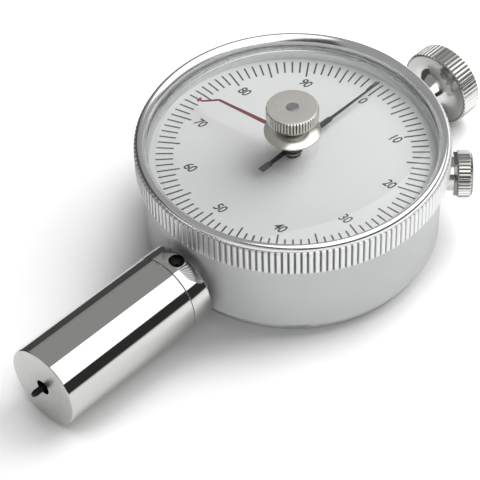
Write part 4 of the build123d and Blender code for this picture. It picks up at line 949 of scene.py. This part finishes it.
class HARDNESS_OT_pointers(bpy.types.Operator):
    """Main pointer and its hub, and the red drag pointer"""
    bl_idname = "hardness_tester.pointers"
    bl_label = "Pointers"

    def execute(self, context):
        placed(smooth_copy("main_pointer", 0.04), "matt_black", "pointer", "pointer_black", "main_pointer")
        bore, radius = 0.82, 1.6
        hub = tube("hub", bore, radius, HUB_LOW.z, HUB_HIGH.z, (0, 0.08, 0.12, 0.08))
        placed(hub, "ground_steel", "pointer", "steel", "pointer_hub")

        low, thick = DRAG_ARM_LOW.z, 0.25
        turn = pi / 2 - 2 * pi * context.scene.hardness_dial.drag_reading / 100
        top = DRAG_ARM_HIGH.z - thick
        bore, radius = 0.92, 1.5
        bend, flat, end = 17.2, 21.3, 22.3    # where the arm leaves the crystal, lies flat and ends
        arm = flat_arm("drag_arm", [
            (1.2, top, 0.48), (bend, top, 0.19), (flat, low, 0.15), (end - 0.45, low, 0.13),
            (end - 0.45, low, 0.55), (end - 0.1, low, 0.50)], thick, Matrix.Rotation(turn, 4, "Z"))
        eye = tube("drag_pointer_arm", bore, radius, top, top + thick, (0, 0.05, 0.05, 0))
        drag = combined(eye, "UNION", arm)
        placed(drag, "red_lacquer", "drag_group", "pointer_red", "drag_pointer")
        return {"FINISHED"}


class HARDNESS_OT_drag_knob(bpy.types.Operator):
    """Flanged bush in the crystal, and the knurled drag knob on its spindle"""
    bl_idname = "hardness_tester.drag_knob"
    bl_label = "Drag knob"

    def execute(self, context):
        settings = context.scene.hardness_knobs
        seat, top, bottom = CRYSTAL_HIGH.z + 0.02, BUSH_HIGH.z, BUSH_LOW.z
        flange, collar, bore, body = BUSH_HIGH.x, 2.4, 0.93, 2.18
        lip, lip_top, rim = 2.7, bottom + 0.25, seat + 0.4    # the lip lies under the crystal
        outline = rounded([
            (collar, top - 0.5), (collar, top, 0.1), (bore, top, 0.05), (bore, bottom, 0.05),
            (lip, bottom, 0.12), (lip, lip_top, 0.05), (body, lip_top), (body, seat),
            (flange, seat, 0.12), (flange, rim)], True)
        dome = arc_through((flange, rim), (4.15, seat + 1.2), (collar, top - 0.5), 12)
        bush = new_piece("bush", *carried_round(outline + dome[1:-1], full_circle(96), True))
        placed(bush, "bush_nickel", "bezel_group", "chrome", "flange_bush")

        low, high, radius = DRAG_KNOB_LOW.z, DRAG_KNOB_HIGH.z, DRAG_KNOB_HIGH.x
        bore, step, recess = 0.92, 2.0, 1.24
        band, floor = high - 2.7, SPINDLE_HIGH.z - 0.72
        profile = rounded([
            (bore, low), (step, low), (step, low + 0.3, 0.05), (radius - 0.85, low + 0.3, 0.15),
            (radius - 0.33, band, 0.05), (radius, band + 0.3, 0.1), (radius, high - 0.3, 0.12),
            (radius - 0.34, high, 0.1), (recess, high, 0.05), (recess, floor), (bore, floor)], True)
        knob = ribbed("drag_grip", profile, settings, settings.drag_ribs, "drag_knob_nickel")
        placed(knob, "drag_knob_nickel", "drag_group", "chrome", "drag_knob")

        shaft, head, seat = 0.9, 1.2, SPINDLE_HIGH.z - 0.7
        spindle = turned("spindle", [
            (0, SPINDLE_LOW.z), (shaft, SPINDLE_LOW.z, 0.05), (shaft, seat), (head, seat),
            (head, SPINDLE_HIGH.z, 0.12), (0, SPINDLE_HIGH.z)], steps=64)
        notches = [
            block("notch", (-0.25, side * 0.84, seat + 0.45), (0.25, side * 3, SPINDLE_HIGH.z + 1))
            for side in (1, -1)]
        combined(spindle, "DIFFERENCE", *notches)
        placed(spindle, "ground_steel", "drag_group", "steel", "drag_spindle")

        radius = 1.5
        hub = tube("drag_eye", bore, radius, DRAG_HUB_LOW.z, DRAG_HUB_HIGH.z, (0, 0.08, 0.08, 0))
        placed(hub, "ground_steel", "drag_group", "steel", "drag_hub")
        return {"FINISHED"}


class HARDNESS_OT_top_knob(bpy.types.Operator):
    """Ribbed top knob on its flared neck"""
    bl_idname = "hardness_tester.top_knob"
    bl_label = "Top knob"

    def execute(self, context):
        settings = context.scene.hardness_knobs
        radius, seat, far = 8.0, KNOB_LOW.y, KNOB_HIGH.y
        neck, dish, foot, stud = 2.8, 6.2, 4.0, 2.02    # radii, from the flared neck to the blind hole
        near, flare, chamfer = far - 4.5, 3.3, 0.3
        deep, hole_end = far - 1.0, seat + 6.0
        outline = rounded([
            (dish, near), (radius - chamfer, near, 0.12), (radius, near + chamfer, 0.12),
            (radius, far - chamfer, 0.12), (radius - chamfer, far, 0.12), (dish, far, 0.12),
            (dish - 0.5, deep, 0.2), (0, deep)], False)
        inside = [(0, hole_end), (stud, hole_end), (stud, seat), (foot, seat, 0.1),
                  (foot, seat + 1.6, 0.15), (neck, seat + 2.4, 0.6), (neck, near - flare)]
        middle = (neck + 0.28 * (dish - neck), near - 0.3 * flare)
        profile = outline + rounded(inside, False)[:-1]
        profile += arc_through((neck, near - flare), middle, (dish, near), 12)[:-1]
        profile = [(max(0.0, x), z) for x, z in profile]
        knob = ribbed("crown_knob", profile, settings, settings.top_ribs, "top_knob_chrome", TOWARDS_KNOB)
        placed(knob, "top_knob_chrome", "case", "chrome", "top_knob")
        return {"FINISHED"}


class HARDNESS_OT_clamp(bpy.types.Operator):
    """Knurled clamp screw in the side of the case"""
    bl_idname = "hardness_tester.clamp"
    bl_label = "Clamp screw"

    def execute(self, context):
        settings = context.scene.hardness_knobs
        radius, thread, collar, washer = CLAMP_HIGH.z - CLAMP_HEIGHT, 1.97, 3.2, 4.2
        start = hypot(PAD_MIDDLE.x, PAD_MIDDLE.y) + 0.52
        shoulder, head, end = 30.6, 31.2, 33.9
        crown = end + 0.6
        profile = rounded([
            (0, start), (thread, start, 0.1), (thread, shoulder - 1.4), (collar, shoulder - 1.4, 0.1),
            (collar, shoulder), (washer, shoulder, 0.1), (washer, head), (radius, head + 0.3, 0.1),
            (radius, end - 0.3, 0.15), (radius - 0.6, end + 0.3, 0.3), (2.57, crown, 0.5), (0, crown)],
            False)
        screw = ribbed("clamp_knob", profile, settings, settings.clamp_ribs, "clamp_chrome", TOWARDS_CLAMP)
        placed(screw, "clamp_chrome", "clamp", "chrome", "clamp_screw")
        return {"FINISHED"}


class HARDNESS_OT_spring(bpy.types.Operator):
    """Calibrated spring, a smoothed copy of the frame's with a mesh of its own"""
    bl_idname = "hardness_tester.spring"
    bl_label = "Calibrated spring"

    def execute(self, context):
        spring = smooth_copy("calibrated_spring")
        placed(spring, "blued_steel", "case", "spring_steel", "calibrated_spring")
        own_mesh(spring)
        return {"FINISHED"}


class HARDNESS_OT_movement(bpy.types.Operator):
    """Finishes of the pieces that stay as the frame has them: the movement, bushes and springs"""
    bl_idname = "hardness_tester.movement"
    bl_label = "Movement"

    def execute(self, context):
        by_slot = {
            "cover_aluminium": "ring_aluminium", "steel": "ground_steel", "spring_steel": "blued_steel",
            "brass": "turned_brass", "fibre": "pressed_fibre"}
        slots = {part["node"]: part["material_slot"] for part in frame["record"]["subparts"]}
        for name, node in frame["nodes"].items():
            if node.hide_render:
                continue
            node.data.materials.clear()
            node.data.materials.append(finish_named(by_slot[slots[name]]))
        return {"FINISHED"}


# ---- Stage ----
# Panels that only the metal mirrors: a corner, its two edges in metres, and the brightness
PANELS = {
    "grey_ceiling": ((-4, -4, 1.8), (8, 0, 0), (0, 8, 0), 0.40),
    "front_grey": ((-4, -4, 0), (8, 0, 0), (0, 0, 1.8), 0.55),
    "right_grey": ((4, -4, 0), (0, 8, 0), (0, 0, 1.8), 0.40),
    "back_grey": ((4, 4, 0), (-8, 0, 0), (0, 0, 1.8), 0.40),
    "left_grey": ((-4, 4, 0), (0, -8, 0), (0, 0, 1.8), 0.36),
    "overhead_softbox": ((0.05, -0.5, 0.6), (0.99, 0, 0), (0, 1.9, 0), 2.0),
    "front_dark": ((0.1, -1.2, 0.6), (0.8, 0, 0), (0, 0.7, 0), 0.05),
    "right_dark": ((0.9, -0.9, 0.04), (0, 2.7, 0), (0, 0, 0.48), 0.04),
    "left_dark": ((-0.04, -0.2, 0), (0, 0.3, 0), (0, 0, 0.026), 0.09),
}
FLOOR = ((-3, -3, 0), (6, 0, 0), (0, 6, 0))
FLOOR_SHADE = (0.52, 0.80)    # openness to the sky at which the floor's glow sets in and is full; nearer the object the floor is painted darker as shadow
CAMERA_AT = Vector((207.41, -219.90, 311.10)) * MM
CAMERA_AIM = Vector((-3.382, -11.422, 2.6)) * MM
CAMERA_ROLL = radians(-1.82)
WHITE = (1, 1, 1, 1)


def sheet(name, corner, across, along):
    """Flat rectangle of the stage, from a corner and its two edges."""
    near, far = Vector(corner), Vector(corner) + Vector(along)
    mesh = plain_mesh(name, [near, near + Vector(across), far + Vector(across), far], [range(4)])
    panel = linked(name, mesh)
    return panel


def card(name, corner, across, along, strength):
    """Panel seen only by reflections."""
    panel = sheet(name, corner, across, along)
    material = bpy.data.materials.new(name)
    material.use_nodes = True
    tree = material.node_tree
    tree.nodes.clear()
    glow = wire(tree, "ShaderNodeEmission", {"Color": WHITE, "Strength": strength})
    tree.links.new(glow.outputs[0], tree.nodes.new("ShaderNodeOutputMaterial").inputs["Surface"])
    panel.data.materials.append(material)
    panel.visible_camera = False
    panel.visible_diffuse = False
    panel.visible_shadow = False
    panel.visible_transmission = False


def seen_directly(tree):
    """1 for rays that see the backdrop itself: from the camera, in metal or through glass."""
    ray = wire(tree, "ShaderNodeLightPath").outputs
    mirrored = calculate(tree, "MAXIMUM", ray["Is Glossy Ray"], ray["Is Transmission Ray"])
    return calculate(tree, "MAXIMUM", ray["Is Camera Ray"], mirrored)


def pale_floor(base, glow):
    """Matt floor that looks white away from the object and keeps its shadow; near the object ambient
    occlusion holds its glow back, which paints extra shadow there.
    """
    tree, shader = new_finish("floor", 0.0, 0.9, Specular_IOR_Level=0.1)
    tree.links.new(tinted(tree, grain(tree, 60.0), base, 0.995, 1.0), shader.inputs["Base Color"])
    # ambient occlusion withholds the glow near the object: a painted shadow on the floor
    open_share = wire(tree, "ShaderNodeAmbientOcclusion", {"Distance": 20 * MM}, samples=8).outputs["AO"]
    away = spread(tree, open_share, *FLOOR_SHADE, 0.0, glow)
    strength = calculate(tree, "MULTIPLY", seen_directly(tree), away)
    shine = wire(tree, "ShaderNodeEmission", {"Color": WHITE, "Strength": strength})
    both = wire(tree, "ShaderNodeAddShader", {0: shader.outputs[0], 1: shine.outputs[0]})
    tree.links.new(both.outputs[0], tree.nodes["Material Output"].inputs["Surface"])
    return bpy.data.materials["floor"]


def soft_lamp(name, place, size, power, shape):
    """Large lamp aimed at the object. Metal and glass don't show it: the cards stand for it there."""
    lamp = bpy.data.lights.new(name, "AREA")
    lamp.shape = shape
    lamp.size, lamp.size_y = size
    lamp.energy = power
    holder = linked(name, lamp)
    holder.location = place
    holder.rotation_mode = "QUATERNION"
    holder.rotation_quaternion = (-holder.location).to_track_quat("-Z", "Y")
    holder.visible_glossy = False
    holder.visible_transmission = False


class HARDNESS_OT_stage(bpy.types.Operator):
    """Plain pale floor, soft studio light and the camera"""
    bl_idname = "hardness_tester.stage"
    bl_label = "Stage"

    def execute(self, context):
        scene = context.scene
        settings = scene.hardness_stage
        floor = sheet("floor", *FLOOR)
        floor.data.materials.append(pale_floor(tuple(scene.hardness_finish.floor), settings.floor_glow))

        soft_lamp("key", (0.06, 0.21, 0.27), (0.34, 0.34), settings.key_power, "ELLIPSE")
        soft_lamp("fill", (0.50, -0.95, 0.24), (0.9, 0.4), settings.fill_power, "RECTANGLE")
        for name, panel in PANELS.items():
            card(name, *panel)

        world = bpy.data.worlds.new("studio")
        scene.world = world
        world.use_nodes = True
        tree = world.node_tree
        tree.nodes.clear()
        direction = wire(tree, "ShaderNodeTexCoord").outputs["Generated"]
        height = wire(tree, "ShaderNodeSeparateXYZ", {0: direction}).outputs["Z"]
        sky = ramp(tree, spread(tree, height, -1, 1), (0.45, 0.85), (0.6, 0.92), (1.0, 1.0))
        ambient = wire(tree, "ShaderNodeBackground", {"Color": sky, "Strength": settings.world_light})
        pale = wire(tree, "ShaderNodeBackground", {"Color": WHITE, "Strength": 1.0})
        both = {0: seen_directly(tree), 1: ambient.outputs[0], 2: pale.outputs[0]}
        mixed = wire(tree, "ShaderNodeMixShader", both)
        tree.links.new(mixed.outputs[0], tree.nodes.new("ShaderNodeOutputWorld").inputs["Surface"])

        data = bpy.data.cameras.new("camera")
        data.lens = settings.lens
        data.sensor_width = 36.0
        data.clip_start = 0.01
        data.clip_end = 20.0
        camera = linked("camera", data)
        camera.location = CAMERA_AT
        camera.rotation_mode = "QUATERNION"
        level = (CAMERA_AIM - CAMERA_AT).to_track_quat("-Z", "Y")
        camera.rotation_quaternion = level @ Quaternion((0, 0, 1), CAMERA_ROLL)
        scene.camera = camera
        scene.view_settings.view_transform = "Standard"
        return {"FINISHED"}


OPERATORS = (
    HARDNESS_OT_case, HARDNESS_OT_back, HARDNESS_OT_foot, HARDNESS_OT_indenter, HARDNESS_OT_bezel,
    HARDNESS_OT_crystal, HARDNESS_OT_dial, HARDNESS_OT_pointers, HARDNESS_OT_drag_knob,
    HARDNESS_OT_top_knob, HARDNESS_OT_clamp, HARDNESS_OT_spring, HARDNESS_OT_movement,
    HARDNESS_OT_stage)

SETTINGS = {
    "hardness_finish": HardnessFinishSettings,
    "hardness_bezel": HardnessBezelSettings,
    "hardness_dial": HardnessDialSettings,
    "hardness_knobs": HardnessKnobSettings,
    "hardness_stage": HardnessStageSettings,
}


class HARDNESS_PT_pieces(bpy.types.Panel):
    """Lists the pieces and the sizes that they are made to"""
    bl_idname = "HARDNESS_PT_pieces"
    bl_label = "Hardness Tester"
    bl_space_type = "VIEW_3D"
    bl_region_type = "UI"
    bl_category = "Hardness Tester"

    def draw(self, context):
        for kind in OPERATORS:
            self.layout.operator(kind.bl_idname)
        for key, kind in SETTINGS.items():
            column = self.layout.column(align=True)
            for setting in kind.__annotations__:
                column.prop(getattr(context.scene, key), setting)


def register():
    for key, kind in SETTINGS.items():
        bpy.utils.register_class(kind)
        setattr(bpy.types.Scene, key, PointerProperty(type=kind))
    for kind in OPERATORS:
        bpy.utils.register_class(kind)
    bpy.utils.register_class(HARDNESS_PT_pieces)


def unregister():
    bpy.utils.unregister_class(HARDNESS_PT_pieces)
    for kind in reversed(OPERATORS):
        bpy.utils.unregister_class(kind)
    for key, kind in SETTINGS.items():
        delattr(bpy.types.Scene, key)
        bpy.utils.unregister_class(kind)


def main():
    register()
    for kind in OPERATORS:
        group, action = kind.bl_idname.split(".")
        getattr(getattr(bpy.ops, group), action)()


if __name__ == "__main__":
    main()
